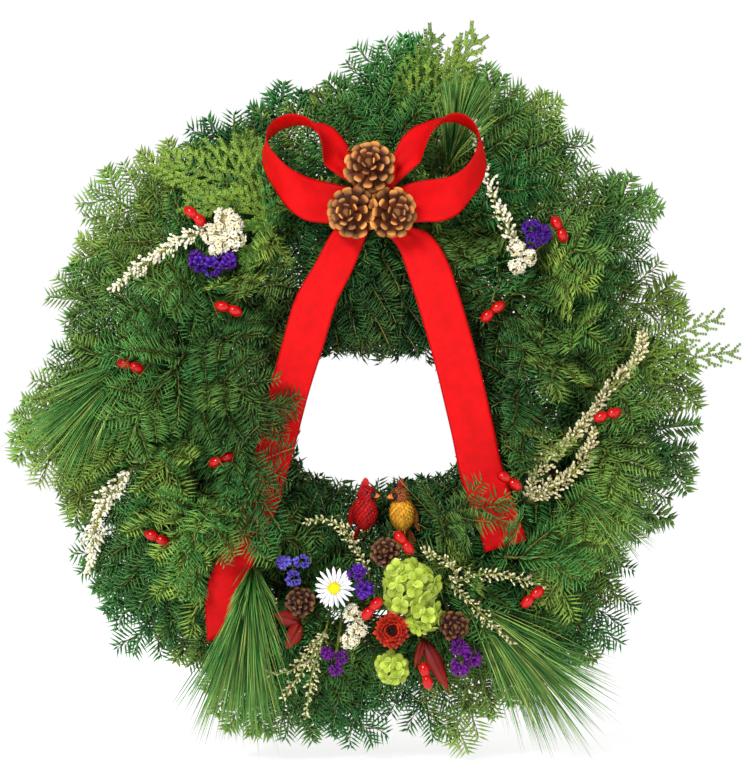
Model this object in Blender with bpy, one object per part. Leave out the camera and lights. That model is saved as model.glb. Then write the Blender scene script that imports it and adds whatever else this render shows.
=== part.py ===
# Dried flower and evergreen door wreath on a wire ring.
#
# Frame: metres, +Z up, the front of the wreath facing -Y. The origin is where the hook
# carries the wreath: the underside of the ring wire at the top of the ring.
# Lengths inside the functions and lists are in millimetres from the centre of the ring:
# x to the right, z up, y back. Foliage and flowers lie in front of the ring, at negative y.

import bmesh
import bpy
import math
import random
from mathutils import Matrix, Vector
from mathutils.bvhtree import BVHTree

# Driving dimensions, in millimetres
RING_RADIUS = 178.0
WIRE_RADIUS = 2.0
BINDING_RADIUS = 0.7
RIBBON_WIDTH = 38.0
RIBBON_THICK = 1.0
BUNDLE_RADIUS = 14.0
GROOVE_RADIUS = 10.0
BUNCHES = 6
RING_SEGMENTS = 36
GAP = 0.35
FIR_NEEDLE = 20.0
FIR_STEP = 17.0
FIR_STEM = 1.7
PINE_NEEDLE = 115.0
BERRY_LENGTH = 13.0
BERRY_WIDTH = 9.0
PICK_RADIUS = 0.9
CONE_RADIUS = 20.5
CONE_LENGTH = 38.0
SMALL_CONE_RADIUS = 12.5
SMALL_CONE_LENGTH = 20.0
CLEARANCE = 1.1
SHORTEST_NEEDLE = 4.0
SHORTEST_BOUGH = 35.0
BOUGH_MARGIN = 3.2
BUNDLE_MARGIN = 3.0
MM = 0.001

# How much longer or shorter than the rest a needle or bud may be
NEEDLE_SPREAD = (0.88, 1.1)
# The share of a stem from which its needles shorten towards the tip
FULL_LENGTH_TO = 0.55
# Steps of a curve between two of its control points
CURVE_STEPS = 12

# Across the flats of the six-sided wire and stem bundle
FLAT = math.cos(math.pi / 6)
CENTRE_DROP = RING_RADIUS - WIRE_RADIUS

# Clear space through the hole between the ribbon tails: x, y and z from and to
OPENING = ((-45.0, 50.0), (-160.0, 20.0), (-48.0, 24.0))

random.seed(1225)

for old in list(bpy.data.objects):
    bpy.data.objects.remove(old)


# Placing and materials


def material(name, colour, roughness, metallic=0.0):
    made = bpy.data.materials.new(name)
    made.use_nodes = True
    shader = made.node_tree.nodes["Principled BSDF"]
    shader.inputs["Base Color"].default_value = (*colour, 1.0)
    shader.inputs["Roughness"].default_value = roughness
    shader.inputs["Metallic"].default_value = metallic
    return made


PAINT = {
    "wire": material("wire", (0.10, 0.12, 0.10), 0.45, 0.9),
    "fir": material("fir", (0.015, 0.09, 0.025), 0.55),
    "pine": material("pine", (0.03, 0.16, 0.035), 0.5),
    "cedar": material("cedar", (0.12, 0.22, 0.04), 0.6),
    "ribbon": material("ribbon", (0.83, 0.012, 0.018), 0.55),
    "cone": material("cone", (0.26, 0.085, 0.02), 0.65),
    "berry": material("berry", (0.75, 0.008, 0.01), 0.15),
    "lime": material("lime", (0.50, 0.62, 0.06), 0.7),
    "white": material("white", (0.85, 0.85, 0.80), 0.7),
    "cream": material("cream", (0.68, 0.62, 0.36), 0.8),
    "purple": material("purple", (0.10, 0.01, 0.30), 0.7),
    "blue": material("blue", (0.10, 0.08, 0.50), 0.7),
    "orange": material("orange", (0.50, 0.03, 0.008), 0.6),
    "maroon": material("maroon", (0.16, 0.008, 0.008), 0.6),
    "red_bird": material("red_bird", (0.42, 0.01, 0.01), 0.8),
    "yellow_bird": material("yellow_bird", (0.72, 0.35, 0.04), 0.8),
}

placed_vertices = []
placed_faces = []
placed = {"tree": None}


def face_out(bm):
    bmesh.ops.recalc_face_normals(bm, faces=bm.faces)
    if bm.calc_volume(signed=True) < 0:
        bmesh.ops.reverse_faces(bm, faces=bm.faces)


def remember(bm):
    """Later pieces go round this shape."""
    face_out(bm)
    start = len(placed_vertices)
    bm.verts.index_update()
    placed_vertices.extend(v.co.copy() for v in bm.verts)
    placed_faces.extend([start + v.index for v in f.verts] for f in bm.faces)
    placed["tree"] = BVHTree.FromPolygons(placed_vertices, placed_faces)


def set_down(name, bm, paint, smooth=False):
    """The finished piece as one object."""
    remember(bm)
    for v in bm.verts:
        v.co = Vector((v.co.x * MM, v.co.y * MM, v.co.z * MM - CENTRE_DROP * MM))
    mesh = bpy.data.meshes.new(name)
    bm.to_mesh(mesh)
    bm.free()
    if smooth:
        mesh.shade_smooth()
    mesh.materials.append(PAINT[paint])
    made = bpy.data.objects.new(name, mesh)
    bpy.context.scene.collection.objects.link(made)
    return made


def union(shapes, crossing):
    """The Boolean union of closed shapes, also of ones that cross themselves."""
    group = bpy.data.collections.new("repeats")
    bpy.context.scene.collection.children.link(group)
    made = []
    for shape in shapes:
        mesh = bpy.data.meshes.new("repeat")
        shape.to_mesh(mesh)
        made.append(bpy.data.objects.new("repeat", mesh))
    body = made[0]
    bpy.context.scene.collection.objects.link(body)
    for other in made[1:]:
        group.objects.link(other)
    join = body.modifiers.new("union", "BOOLEAN")
    join.operation = "UNION"
    join.operand_type = "COLLECTION"
    join.collection = group
    join.use_self = crossing
    bpy.context.view_layer.update()
    result = bmesh.new()
    result.from_object(body, bpy.context.evaluated_depsgraph_get())
    for old in made:
        bpy.data.objects.remove(old)
    bpy.data.collections.remove(group)
    return result


def closed(bm):
    return len(bm.verts) > 0 and all(len(edge.link_faces) == 2 for edge in bm.edges)


def fuse(shapes):
    """One body from overlapping closed shapes, without loose scraps or sealed hollows."""
    for shape in shapes:
        bmesh.ops.triangulate(shape, faces=shape.faces)
        face_out(shape)
    result = union(shapes, False)
    if not closed(result):
        result.free()
        result = union(shapes, True)
    for shape in shapes:
        shape.free()
    bmesh.ops.triangulate(result, faces=result.faces)
    keep_largest(result)
    return result


def keep_largest(bm):
    left = set(bm.verts)
    bodies = []
    while left:
        body = set()
        front = [left.pop()]
        while front:
            vert = front.pop()
            body.add(vert)
            for edge in vert.link_edges:
                near = edge.other_vert(vert)
                if near in left:
                    left.remove(near)
                    front.append(near)
        bodies.append(body)
    largest = max(bodies, key=len)
    spare = [v for body in bodies if body is not largest for v in body]
    bmesh.ops.delete(bm, geom=spare, context="VERTS")


# Paths and tubes


def curve(controls, count):
    """Points evenly spread along a smooth curve through the control points."""
    fine = []
    ends = [controls[0] * 2 - controls[1], *controls, controls[-1] * 2 - controls[-2]]
    for a, b, c, d in zip(ends, ends[1:], ends[2:], ends[3:]):
        for k in range(CURVE_STEPS):
            t = k / CURVE_STEPS
            fine.append(
                0.5
                * (
                    2 * b
                    + (c - a) * t
                    + (2 * a - 5 * b + 4 * c - d) * t**2
                    + (3 * b - 3 * c + d - a) * t**3
                )
            )
    fine.append(controls[-1].copy())
    run = [0.0]
    for a, b in zip(fine, fine[1:]):
        run.append(run[-1] + (b - a).length)
    points = []
    k = 0
    for n in range(count):
        want = run[-1] * n / (count - 1)
        while k < len(run) - 2 and run[k + 1] < want:
            k += 1
        part = (want - run[k]) / max(run[k + 1] - run[k], 1e-9)
        points.append(fine[k].lerp(fine[k + 1], part))
    return points


def sections(points, up):
    """Along, sideways and upright directions at every point of a path, without twist."""
    found = []
    side = None
    for k, point in enumerate(points):
        before = points[max(k - 1, 0)]
        after = points[min(k + 1, len(points) - 1)]
        along = (after - before).normalized()
        if side is None:
            side = along.cross(up)
        side = (side - along * side.dot(along)).normalized()
        found.append((point, along, side, side.cross(along)))
    return found


def tube(points, radii, sides, up, turn=0.0):
    """A closed tube, its side faces row by row, and the face at its far end."""
    bm = bmesh.new()
    rings = []
    for (point, along, side, upright), radius in zip(sections(points, up), radii):
        ring = []
        for k in range(sides):
            angle = turn + 2 * math.pi * k / sides
            offset = side * math.cos(angle) + upright * math.sin(angle)
            ring.append(bm.verts.new(point + offset * radius))
        rings.append(ring)
    rows = []
    for low, high in zip(rings, rings[1:]):
        row = []
        for k in range(sides):
            n = (k + 1) % sides
            row.append(bm.faces.new((low[k], high[k], high[n], low[n])))
        rows.append(row)
    bm.faces.new(rings[0])
    cap = bm.faces.new(list(reversed(rings[-1])))
    bm.normal_update()
    return bm, rows, cap


def raise_point(bm, face, tip):
    """Draws one face out to a point, for a needle, bud or scale."""
    centre = bmesh.ops.poke(bm, faces=[face])["verts"][0]
    centre.co = tip


def near_something(point, margin):
    for (low, high), value in zip(OPENING, point):
        if value < low - margin or value > high + margin:
            break
    else:
        return True
    if placed["tree"] is None:
        return False
    return placed["tree"].find_nearest(point)[3] < margin


def reach(start, tip, margin):
    """How much of the way from start to tip is free, from 0 to 1."""
    steps = max(2, int((tip - start).length / 2.0))
    free = 0.0
    for k in range(1, steps + 1):
        if near_something(start.lerp(tip, k / steps), margin):
            return free
        free = k / steps
    return 1.0


def leafy_stem(points, stem, up, length, lean, used, sides=3, shorter=0.55, bare=0.0):
    """A tapering stem whose faces are drawn out into needles or buds."""
    count = len(points)
    radii = [stem * (1 - 0.5 * k / (count - 1)) for k in range(count)]
    bm, rows, cap = tube(points, radii, sides, up, math.pi / 6)
    for k, row in enumerate(rows):
        if (points[k] - points[0]).length < bare:
            continue
        along = (points[k + 1] - points[k]).normalized()
        share = k / max(len(rows) - 1, 1)
        late = max(0.0, share - FULL_LENGTH_TO) / (1 - FULL_LENGTH_TO)
        size = length * (1 - (1 - shorter) * late)
        for number, face in enumerate(row):
            if number not in used:
                continue
            start = face.calc_center_median()
            if near_something(start, 0.6):
                continue
            out = (face.normal + along * lean).normalized()
            tip = start + out * size * random.uniform(*NEEDLE_SPREAD)
            wide = (points[k + 1] - points[k]) * 0.4
            free = min(reach(start + wide * n, tip, CLEARANCE) for n in (-1, 0, 1))
            if free * size > SHORTEST_NEEDLE:
                raise_point(bm, face, start.lerp(tip, free))
    tip = points[-1] + (points[-1] - points[-2]).normalized() * length * 0.5
    free = reach(points[-1], tip, CLEARANCE)
    if free > 0.4:
        raise_point(bm, cap, points[-1].lerp(tip, free))
    return bm


FORWARD = Vector((0, -1, 0))


def pick(points, sides=3, radius=PICK_RADIUS):
    made, _, _ = tube(points, [radius] * len(points), sides, Vector((0.1, 0.3, 1.0)))
    return made


# Ring, stem bunches and binding wire


def on_ring(angle, radius, y):
    """A point at a clock angle from the top, clockwise as seen from the front."""
    return Vector((math.sin(angle) * radius, y, math.cos(angle) * radius))


def torus(name, radius, thick, count, paint):
    bm = bmesh.new()
    rings = []
    for k in range(count):
        angle = 2 * math.pi * k / count
        ring = []
        for n in range(6):
            turn = math.pi * n / 3
            ring.append(
                bm.verts.new(
                    on_ring(angle, radius + thick * math.cos(turn), thick * math.sin(turn))
                )
            )
        rings.append(ring)
    for k in range(count):
        low = rings[k]
        high = rings[(k + 1) % count]
        for n in range(6):
            m = (n + 1) % 6
            bm.faces.new((low[n], low[m], high[m], high[n]))
    return set_down(name, bm, paint, True)


def bundle_radius(share):
    """Tapers over a third of a bunch to the groove at each end."""
    return GROOVE_RADIUS + (BUNDLE_RADIUS - GROOVE_RADIUS) * min(
        1.0, 3 * min(share, 1 - share)
    )


def bundle_y(radius):
    return -(WIRE_RADIUS * FLAT + GAP + radius * FLAT)


def bunch_core(number):
    """The bound stems of one bunch, tapering to the grooves that the wire lies in."""
    step = 2 * math.pi / BUNCHES
    trim = GAP / 2 / RING_RADIUS
    pieces = RING_SEGMENTS // BUNCHES
    rings = []
    bm = bmesh.new()
    for k in range(pieces + 1):
        share = k / pieces
        angle = step * (number + share)
        if k == 0:
            angle += trim
        if k == pieces:
            angle -= trim
        radius = bundle_radius(share)
        y = bundle_y(radius)
        ring = []
        for n in range(6):
            turn = math.pi * n / 3
            ring.append(
                bm.verts.new(
                    on_ring(
                        angle,
                        RING_RADIUS + radius * math.cos(turn),
                        y + radius * math.sin(turn),
                    )
                )
            )
        rings.append(ring)
    for low, high in zip(rings, rings[1:]):
        for n in range(6):
            m = (n + 1) % 6
            bm.faces.new((low[n], low[m], high[m], high[n]))
    bm.faces.new(rings[0])
    bm.faces.new(list(reversed(rings[-1])))
    return bm


# Angles round the section of ring and stems, from the back of the ring outwards
WIRE_TURN = (90, 52, 17, -18, -54, -90, -126, -162, -197, -232, -270)


# The start of the wire, from the back of the bow to the top of the ring
TIE_WIRE = ((0.0, -84.2, 184.0), (0.5, -66.0, 182.0), (0.2, -46.0, 179.5))


def binding_path():
    """Starts at the bow, runs along the back of the ring and turns once round each groove."""
    clear = GAP + BINDING_RADIUS * 1.1
    ring_way = WIRE_RADIUS + clear * 1.2
    stem_way = GROOVE_RADIUS * 1.06 + clear
    stem_y = bundle_y(GROOVE_RADIUS)
    pitch = 3.2 / RING_RADIUS
    points = [Vector(at) for at in TIE_WIRE]
    for k in range(BUNCHES):
        angle = 2 * math.pi * k / BUNCHES - pitch / 2
        for n, turn in enumerate(WIRE_TURN):
            if k == 0 and turn > -90:
                continue
            c = math.cos(math.radians(turn))
            s = math.sin(math.radians(turn))
            way, y = (ring_way, 0.0) if s > 0.8 else (stem_way, stem_y)
            points.append(
                on_ring(
                    angle + pitch * n / (len(WIRE_TURN) - 1),
                    RING_RADIUS + way * c,
                    y + way * s,
                )
            )
        if k < BUNCHES - 1:
            for share in (0.33, 0.67):
                points.append(
                    on_ring(
                        angle + 2 * math.pi / BUNCHES * share + pitch * (1 - share),
                        RING_RADIUS,
                        ring_way,
                    )
                )
    return points


torus("wire_ring", RING_RADIUS, WIRE_RADIUS, RING_SEGMENTS, "wire")
wire_points = binding_path()
wire, _, _ = tube(wire_points, [BINDING_RADIUS] * len(wire_points), 3, Vector((1, 0.05, 0)))
set_down("binding_wire", wire, "wire")
cores = [bunch_core(k) for k in range(BUNCHES)]
for core in cores:
    remember(core)


def seat(angle, aside):
    """Where a pick ends, just off the front of the bound stems."""
    share = angle / (2 * math.pi / BUNCHES) % 1.0
    radius = bundle_radius(share)
    return on_ring(angle, RING_RADIUS + aside, bundle_y(radius) - radius * FLAT - GAP)


def way_back(start, thick=PICK_RADIUS):
    """A free way from the back of a flower or spray to the bound stems."""
    straight = math.atan2(start.x, start.z)
    best = None
    for turn in sorted(range(-27, 28), key=abs):
        for aside in (0.0, 4.0, -4.0):
            end = seat(straight + math.radians(turn * 1.3), aside)
            before = end + FORWARD * 9
            for sag in (0.5, 0.2, 0.8):
                bend = start.lerp(before, 0.5)
                bend.y = start.y + (before.y - start.y) * sag
                path = [start, bend, before, end]
                margin = thick + 0.7
                free = reach(start, bend, margin) + reach(bend, before, margin)
                free += reach(before, end + FORWARD * (margin + 0.5), margin)
                if free > 2.99:
                    return path
                if best is None or free > best[0]:
                    best = (free, path)
    return best[1]


# Ribbon bow


def strip(first, second, count, gather):
    """A ribbon between its two edges, gathered at its ends."""
    bm = bmesh.new()
    one = curve([Vector(at) for at in first], count)
    two = curve([Vector(at) for at in second], count)
    middle = [(a + b) / 2 for a, b in zip(one, two)]
    rings = []
    for k, (a, b) in enumerate(zip(one, two)):
        across = (b - a).normalized()
        share = k / (count - 1)
        width = RIBBON_WIDTH
        width *= 1 - (1 - gather[0]) * max(0.0, 1 - share * 6)
        width *= 1 - (1 - gather[1]) * max(0.0, 1 - (1 - share) * 6)
        along = middle[min(k + 1, count - 1)] - middle[max(k - 1, 0)]
        off = along.cross(across).normalized() * RIBBON_THICK / 2
        half = across * width / 2
        at = middle[k]
        rings.append(
            [
                bm.verts.new(at - half - off),
                bm.verts.new(at + half - off),
                bm.verts.new(at + half + off),
                bm.verts.new(at - half + off),
            ]
        )
    for low, high in zip(rings, rings[1:]):
        for n in range(4):
            m = (n + 1) % 4
            bm.faces.new((low[n], low[m], high[m], high[n]))
    bm.faces.new(list(reversed(rings[0])))
    bm.faces.new(rings[-1])
    return bm


# Edges of the ribbon, x, y and z in turn from the knot and back to it, or to the cut end
LEFT_LOOP_FRONT = (
    (-15.5, -90, 189),
    (-46, -96, 194),
    (-62, -103, 198),
    (-75, -111, 206),
    (-84, -117, 216),
    (-91, -121, 226),
    (-93, -123, 237),
    (-88, -124, 247),
    (-78, -123, 253),
    (-67, -121, 253),
    (-55, -118, 247),
    (-47, -113, 234),
    (-44, -106, 220),
    (-40, -100, 206),
    (-15.5, -95, 192),
)
LEFT_LOOP_BACK = (
    (-15.5, -90, 158),
    (-43, -94, 161),
    (-60, -97, 164),
    (-76, -94, 175),
    (-88, -90, 190),
    (-97, -87, 206),
    (-99, -85, 222),
    (-93, -85, 232),
    (-83, -85, 241),
    (-68, -85, 246),
    (-52, -85, 247),
    (-38, -85, 243),
    (-26, -86, 234),
    (-20, -87, 222),
    (-15.5, -88, 210),
)
RIGHT_LOOP_FRONT = (
    (15.5, -90, 189),
    (37, -96, 194),
    (53, -103, 194),
    (66, -110, 197),
    (76, -116, 203),
    (83, -120, 212),
    (88, -123, 223),
    (90, -124, 233),
    (88, -124, 244),
    (80, -123, 252),
    (70, -121, 254),
    (60, -117, 249),
    (51, -111, 238),
    (43, -105, 223),
    (37, -100, 211),
    (15.5, -95, 192),
)
RIGHT_LOOP_BACK = (
    (15.5, -90, 158),
    (45, -94, 162),
    (61, -96, 164),
    (74, -93, 169),
    (84, -90, 179),
    (93, -87, 189),
    (99, -85, 202),
    (99, -84, 216),
    (94, -84, 231),
    (85, -84, 242),
    (73, -84, 248),
    (59, -85, 251),
    (44, -86, 245),
    (29, -87, 237),
    (21, -88, 226),
    (15.5, -88, 210),
)
LEFT_TAIL_OUTER = (
    (-34, -86, 155.5),
    (-43, -87, 144),
    (-54, -90, 121),
    (-69, -90, 91),
    (-79, -88, 52),
    (-89, -84, 14),
    (-99, -80, -24),
    (-106, -76, -58),
    (-116, -75, -94),
    (-132, -78, -126),
    (-146, -80, -157),
    (-146, -80, -186),
    (-141, -80, -207),
)
LEFT_TAIL_INNER = (
    (-4, -90, 154.2),
    (-8, -88, 140),
    (-17, -90, 120),
    (-33, -90, 91),
    (-47, -88, 50),
    (-60, -84, 12),
    (-70, -80, -27),
    (-80, -76, -60),
    (-90, -75, -97),
    (-104, -78, -132),
    (-114, -80, -164),
    (-116, -80, -187),
    (-120, -80, -196),
)
RIGHT_TAIL_INNER = (
    (4, -90, 153.8),
    (21, -88, 138),
    (29, -90, 121),
    (39, -90, 91),
    (47, -89, 61),
    (55, -87, 31),
    (62, -84, 3),
    (69, -81, -25),
    (76, -78, -51),
    (84, -76, -81),
    (95, -76, -111),
    (101, -77, -130),
)
RIGHT_TAIL_OUTER = (
    (36, -86, 156.5),
    (50, -87, 150),
    (63, -90, 127),
    (75, -90, 92),
    (84, -89, 65),
    (92, -87, 37),
    (99, -84, 7),
    (105, -81, -21),
    (109, -78, -49),
    (118, -76, -76),
    (127, -76, -102),
    (132, -77, -121),
)

KNOT_SIZE = (40.0, 12.0, 58.0)
KNOT_MIDDLE = (0.0, -91.4, 184.2)

knot = bmesh.new()
bmesh.ops.create_cube(knot, size=1.0)
for v in knot.verts:
    v.co = Vector(c * s + m for c, s, m in zip(v.co, KNOT_SIZE, KNOT_MIDDLE))
bmesh.ops.bevel(knot, geom=knot.edges[:], offset=1.0, segments=1, affect="EDGES")
loop_left = strip(LEFT_LOOP_FRONT, LEFT_LOOP_BACK, 19, (0.84, 0.6))
loop_right = strip(RIGHT_LOOP_FRONT, RIGHT_LOOP_BACK, 19, (0.84, 0.6))
set_down("bow", fuse([knot, loop_left, loop_right]), "ribbon", True)
set_down(
    "ribbon_tail_left", strip(LEFT_TAIL_OUTER, LEFT_TAIL_INNER, 14, (0.8, 1.0)), "ribbon", True
)
set_down(
    "ribbon_tail_right",
    strip(RIGHT_TAIL_INNER, RIGHT_TAIL_OUTER, 13, (0.8, 1.0)),
    "ribbon",
    True,
)


# Cones

# Along the cone from its base: share of the length, of the core and of the scales
CONE_PROFILE = (
    (0.0, 0.30, 0.0),
    (0.08, 0.52, 0.92),
    (0.24, 0.60, 1.0),
    (0.42, 0.56, 0.96),
    (0.60, 0.46, 0.82),
    (0.78, 0.32, 0.60),
    (0.93, 0.14, 0.0),
)


def cone(base, axis, radius, length, sides):
    """A core whose staggered faces are drawn out into open scales."""
    axis = axis.normalized()
    aside = axis.orthogonal().normalized()
    bm = bmesh.new()
    rings = []
    for k, (share, core, _) in enumerate(CONE_PROFILE):
        ring = []
        for n in range(sides):
            angle = 2 * math.pi * (n + 0.5 * k) / sides
            out = Matrix.Rotation(angle, 3, axis) @ aside
            ring.append(bm.verts.new(base + axis * length * share + out * radius * core))
        rings.append(ring)
    rows = []
    for low, high in zip(rings, rings[1:]):
        row = []
        for n in range(sides):
            m = (n + 1) % sides
            row.append(bm.faces.new((low[n], low[m], high[m], high[n])))
        rows.append(row)
    bm.faces.new(list(reversed(rings[0])))
    bm.faces.new(rings[-1])
    for row, (share, _, scale) in zip(rows, CONE_PROFILE):
        if not scale:
            continue
        for face in row:
            centre = face.calc_center_median()
            out = centre - base
            out = (out - axis * out.dot(axis)).normalized()
            lift = length * (share + 0.22)
            reach_out = radius * scale * random.uniform(0.94, 1.0)
            raise_point(bm, face, base + axis * lift + out * reach_out)
    return bm


KNOT_FRONT = KNOT_MIDDLE[1] - KNOT_SIZE[1] / 2
BOW_CONES = (
    ("bow_cone_top", (-3.5, 205.5), (-0.03, -1, 0.16)),
    ("bow_cone_left", (-15.5, 168.0), (-0.28, -1, -0.05)),
    ("bow_cone_right", (12.5, 168.0), (0.28, -1, -0.05)),
)
for name, (x, z), axis in BOW_CONES:
    tilt = math.hypot(axis[0], axis[2])
    stand_off = GAP + CONE_RADIUS * CONE_PROFILE[0][1] * math.sin(math.atan(tilt))
    base = Vector((x, KNOT_FRONT - stand_off, z))
    set_down(name, cone(base, Vector(axis), CONE_RADIUS, CONE_LENGTH, 9), "cone")


# Small shapes that the flower heads are fused from


def ball(centre, size, direction, around, along):
    """An oval, long in one direction."""
    bm = bmesh.new()
    bmesh.ops.create_uvsphere(bm, u_segments=around, v_segments=along, radius=0.5)
    turn = Vector((0, 0, 1)).rotation_difference(direction.normalized()).to_matrix()
    for v in bm.verts:
        v.co = centre + turn @ Vector(c * s for c, s in zip(v.co, size))
    return bm


def star(centre, face, petals, outer, inner, deep, dish=0.0, turn=0.0, cup=0.0):
    """A flower of pointed petals whose back runs to one point."""
    face = face.normalized()
    aside = face.orthogonal().normalized()
    bm = bmesh.new()
    rim = []
    for k in range(2 * petals):
        angle = turn + math.pi * k / petals
        far = k % 2 == 0
        out = Matrix.Rotation(angle, 3, face) @ aside
        lift = face * (cup if far else 0.0)
        rim.append(bm.verts.new(centre + out * (outer if far else inner) + lift))
    front = bm.verts.new(centre + face * dish)
    back = bm.verts.new(centre - face * deep)
    for k in range(2 * petals):
        n = (k + 1) % (2 * petals)
        bm.faces.new((front, rim[k], rim[n]))
        bm.faces.new((back, rim[n], rim[k]))
    return bm


def dome_points(count, centre, radius, forward_share):
    """Points spread evenly over the front of a ball, with their outward directions."""
    golden = math.pi * (3 - math.sqrt(5))
    found = []
    for k in range(count):
        depth = 1 - forward_share * (k + 0.5) / count
        flat = math.sqrt(max(0.0, 1 - depth * depth))
        out = Vector((flat * math.cos(k * golden), -depth, flat * math.sin(k * golden)))
        found.append((centre + out * radius, out))
    return found


def head(centre, radius, florets, petals, floret, forward_share=1.25, core=0.72):
    """Florets standing all over a smaller core."""
    shapes = [ball(centre, [radius * core * 2] * 3, FORWARD, 7, 5)]
    for at, out in dome_points(florets, centre, radius, forward_share):
        deep = radius * (1 - core) + 3.0
        shapes.append(
            star(
                at,
                out,
                petals,
                floret,
                floret * 0.55,
                deep,
                0.8,
                random.uniform(0, math.pi),
                -0.6,
            )
        )
    return shapes


# Berries on their picks


def berry_pair(first, second):
    """Two oval berries side by side, on one wire that goes back to the stems."""
    one = Vector(first)
    two = Vector(second)
    across = (two - one).normalized()
    size = (BERRY_WIDTH, BERRY_WIDTH, BERRY_LENGTH)
    tip = Vector((0, -0.15, 0.12))
    back = (one + two) / 2 - FORWARD * (BERRY_WIDTH / 2)
    path = way_back(back)
    return [
        ball(one, size, across + tip, 5, 4),
        ball(two, size, across - tip, 5, 4),
        pick([one, back, *path[1:]], radius=1.2),
    ]


# Centres of the two berries of each pair
BERRIES = (
    ("berries_upper_left", (-162.0, -76, 170.0), (-154.0, -76, 163.0)),
    ("berries_left_top", (-134.0, -80, 86.5), (-122.5, -80, 82.5)),
    ("berries_left", (-222.0, -68, 36.0), (-210.5, -68, 32.5)),
    ("berries_left_tail", (-139.0, -88, -50.5), (-127.5, -88, -46.5)),
    ("berries_lower_left", (-197.0, -72, -116.0), (-187.0, -72, -121.0)),
    ("berries_upper_right", (161.5, -76, 160.5), (167.0, -76, 149.5)),
    ("berries_right_tail", (109.5, -82, 86.0), (100.0, -82, 78.0)),
    ("berries_right", (200.0, -84, -11.0), (212.0, -84, -7.5)),
    ("berries_tail_end", (114.0, -95, -63.5), (124.0, -95, -70.5)),
    ("berries_lower_right", (135.0, -88, -173.5), (144.0, -88, -165.5)),
    ("berries_bottom_top", (23.0, -100, -116.5), (30.0, -100, -125.5)),
    ("berries_bottom_middle", (2.0, -114, -173.5), (-5.5, -112, -182.0)),
    ("berries_bottom_right", (44.0, -99, -232.0), (47.0, -99, -243.0)),
)
for name, one, two in BERRIES:
    set_down(name, fuse(berry_pair(one, two)), "berry", True)


# Small cones, flowers, dried sprays and leaves


def past(start, end):
    """A little further than the end, by a different length for each stem that meets there."""
    return end + (end - start).normalized() * random.uniform(0.6, 2.4)


def joined(back, shapes, thick=1.3):
    """The shapes of one head with the stem that carries it."""
    path = way_back(back, thick)
    start = back - (path[1] - back).normalized() * 4.0
    return fuse([*shapes, pick([start, *path[1:]], radius=thick)])


def small_cone(name, x, y, z, axis):
    base = Vector((x, y, z))
    shape = cone(base, Vector(axis), SMALL_CONE_RADIUS, SMALL_CONE_LENGTH, 6)
    set_down(name, joined(base - Vector(axis).normalized() * 0.5, [shape]), "cone")


def cluster(spots, petals, size, neck, deep=5.0):
    """Single flowers on stalks that meet at one neck."""
    shapes = []
    for spot in spots:
        at = Vector(spot)
        out = ((at - neck).normalized() + FORWARD * 1.2).normalized()
        turn = random.uniform(0, math.pi)
        shapes.append(star(at, out, petals, size, size * 0.5, deep, 0.8, turn, 1.0))
        shapes.append(pick([at - out * 1.5, past(at, neck)], radius=1.0))
    return shapes


small_cone("small_cone_top", 10.6, -86, -131.0, (-0.1, -1, 0.2))
small_cone("small_cone_right", 70.0, -88, -194.0, (0.1, -1, 0.0))
small_cone("small_cone_left", -64.0, -86, -174.0, (-0.1, -1, 0.1))

lime = [
    *head(Vector((31, -94, -160)), 24, 7, 4, 14.5),
    *head(Vector((43, -94, -184)), 17, 4, 4, 12.5),
]
set_down("hydrangea_large", joined(Vector((34, -82, -168)), lime, 2.0), "lime")
lime = head(Vector((16.5, -92, -232)), 13.5, 5, 4, 10.0)
set_down("hydrangea_small", joined(Vector((16.5, -84, -230)), lime, 1.6), "lime")

at = Vector((-34.5, -112, -160))
look = Vector((-0.1, -1, 0.1))
daisy = [
    star(at, look, 13, 17.5, 8.0, 7.0, 1.0, 0.0, 0.5),
    ball(at + look * 1.0, (10, 10, 5), look, 8, 4),
]
set_down("daisy", joined(at - look * 5, daisy, 1.0), "white")

at = Vector((15.5, -106, -197))
look = Vector((0.0, -1, 0.05))
strawflower = [
    star(at, look, 12, 16.5, 12.0, 9.0, 1.0, 0.0, 1.5),
    star(at + look * 3.5, look, 10, 11.5, 7.5, 7.0, 0.5, 0.2, 3.0),
]
set_down("strawflower", joined(at - look * 7, strawflower), "orange")

WHITE_HEADS = ((-19, -104, -182), (-14, -104, -196), (-21, -102, -206))
neck = Vector((-18, -88, -194))
set_down("everlasting_white", joined(neck, cluster(WHITE_HEADS, 6, 10.0, neck)), "white")

VIOLET = ((-14, -114, -147), (-9, -114, -161))
neck = Vector((-11, -96, -154))
set_down("statice_violet", joined(neck, cluster(VIOLET, 4, 9.5, neck), 1.1), "purple")
BLUE = ((-79, -98, -139), (-63, -98, -138), (-70, -98, -152))
neck = Vector((-70, -84, -143))
set_down("statice_blue", joined(neck, cluster(BLUE, 4, 7.5, neck), 1.1), "blue")
PURPLE = ((76, -96, -213), (87, -96, -222), (76, -96, -230))
neck = Vector((79, -82, -222))
set_down("statice_purple_right", joined(neck, cluster(PURPLE, 4, 9.0, neck), 1.1), "purple")
PURPLE = ((-41, -96, -218), (-29, -94, -222), (-34, -94, -233))
neck = Vector((-34, -80, -225))
set_down("statice_purple_left", joined(neck, cluster(PURPLE, 4, 7.5, neck), 1.1), "purple")
PURPLE = ((-154, -76, 126), (-142, -78, 121), (-129, -76, 127))
neck = Vector((-142, -62, 124))
set_down("statice_upper_left", joined(neck, cluster(PURPLE, 4, 11.0, neck)), "purple")
PURPLE = ((139, -78, 156), (149, -78, 151), (141, -78, 145))
neck = Vector((144, -64, 151))
set_down("statice_upper_right", joined(neck, cluster(PURPLE, 4, 8.0, neck)), "purple")


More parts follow.
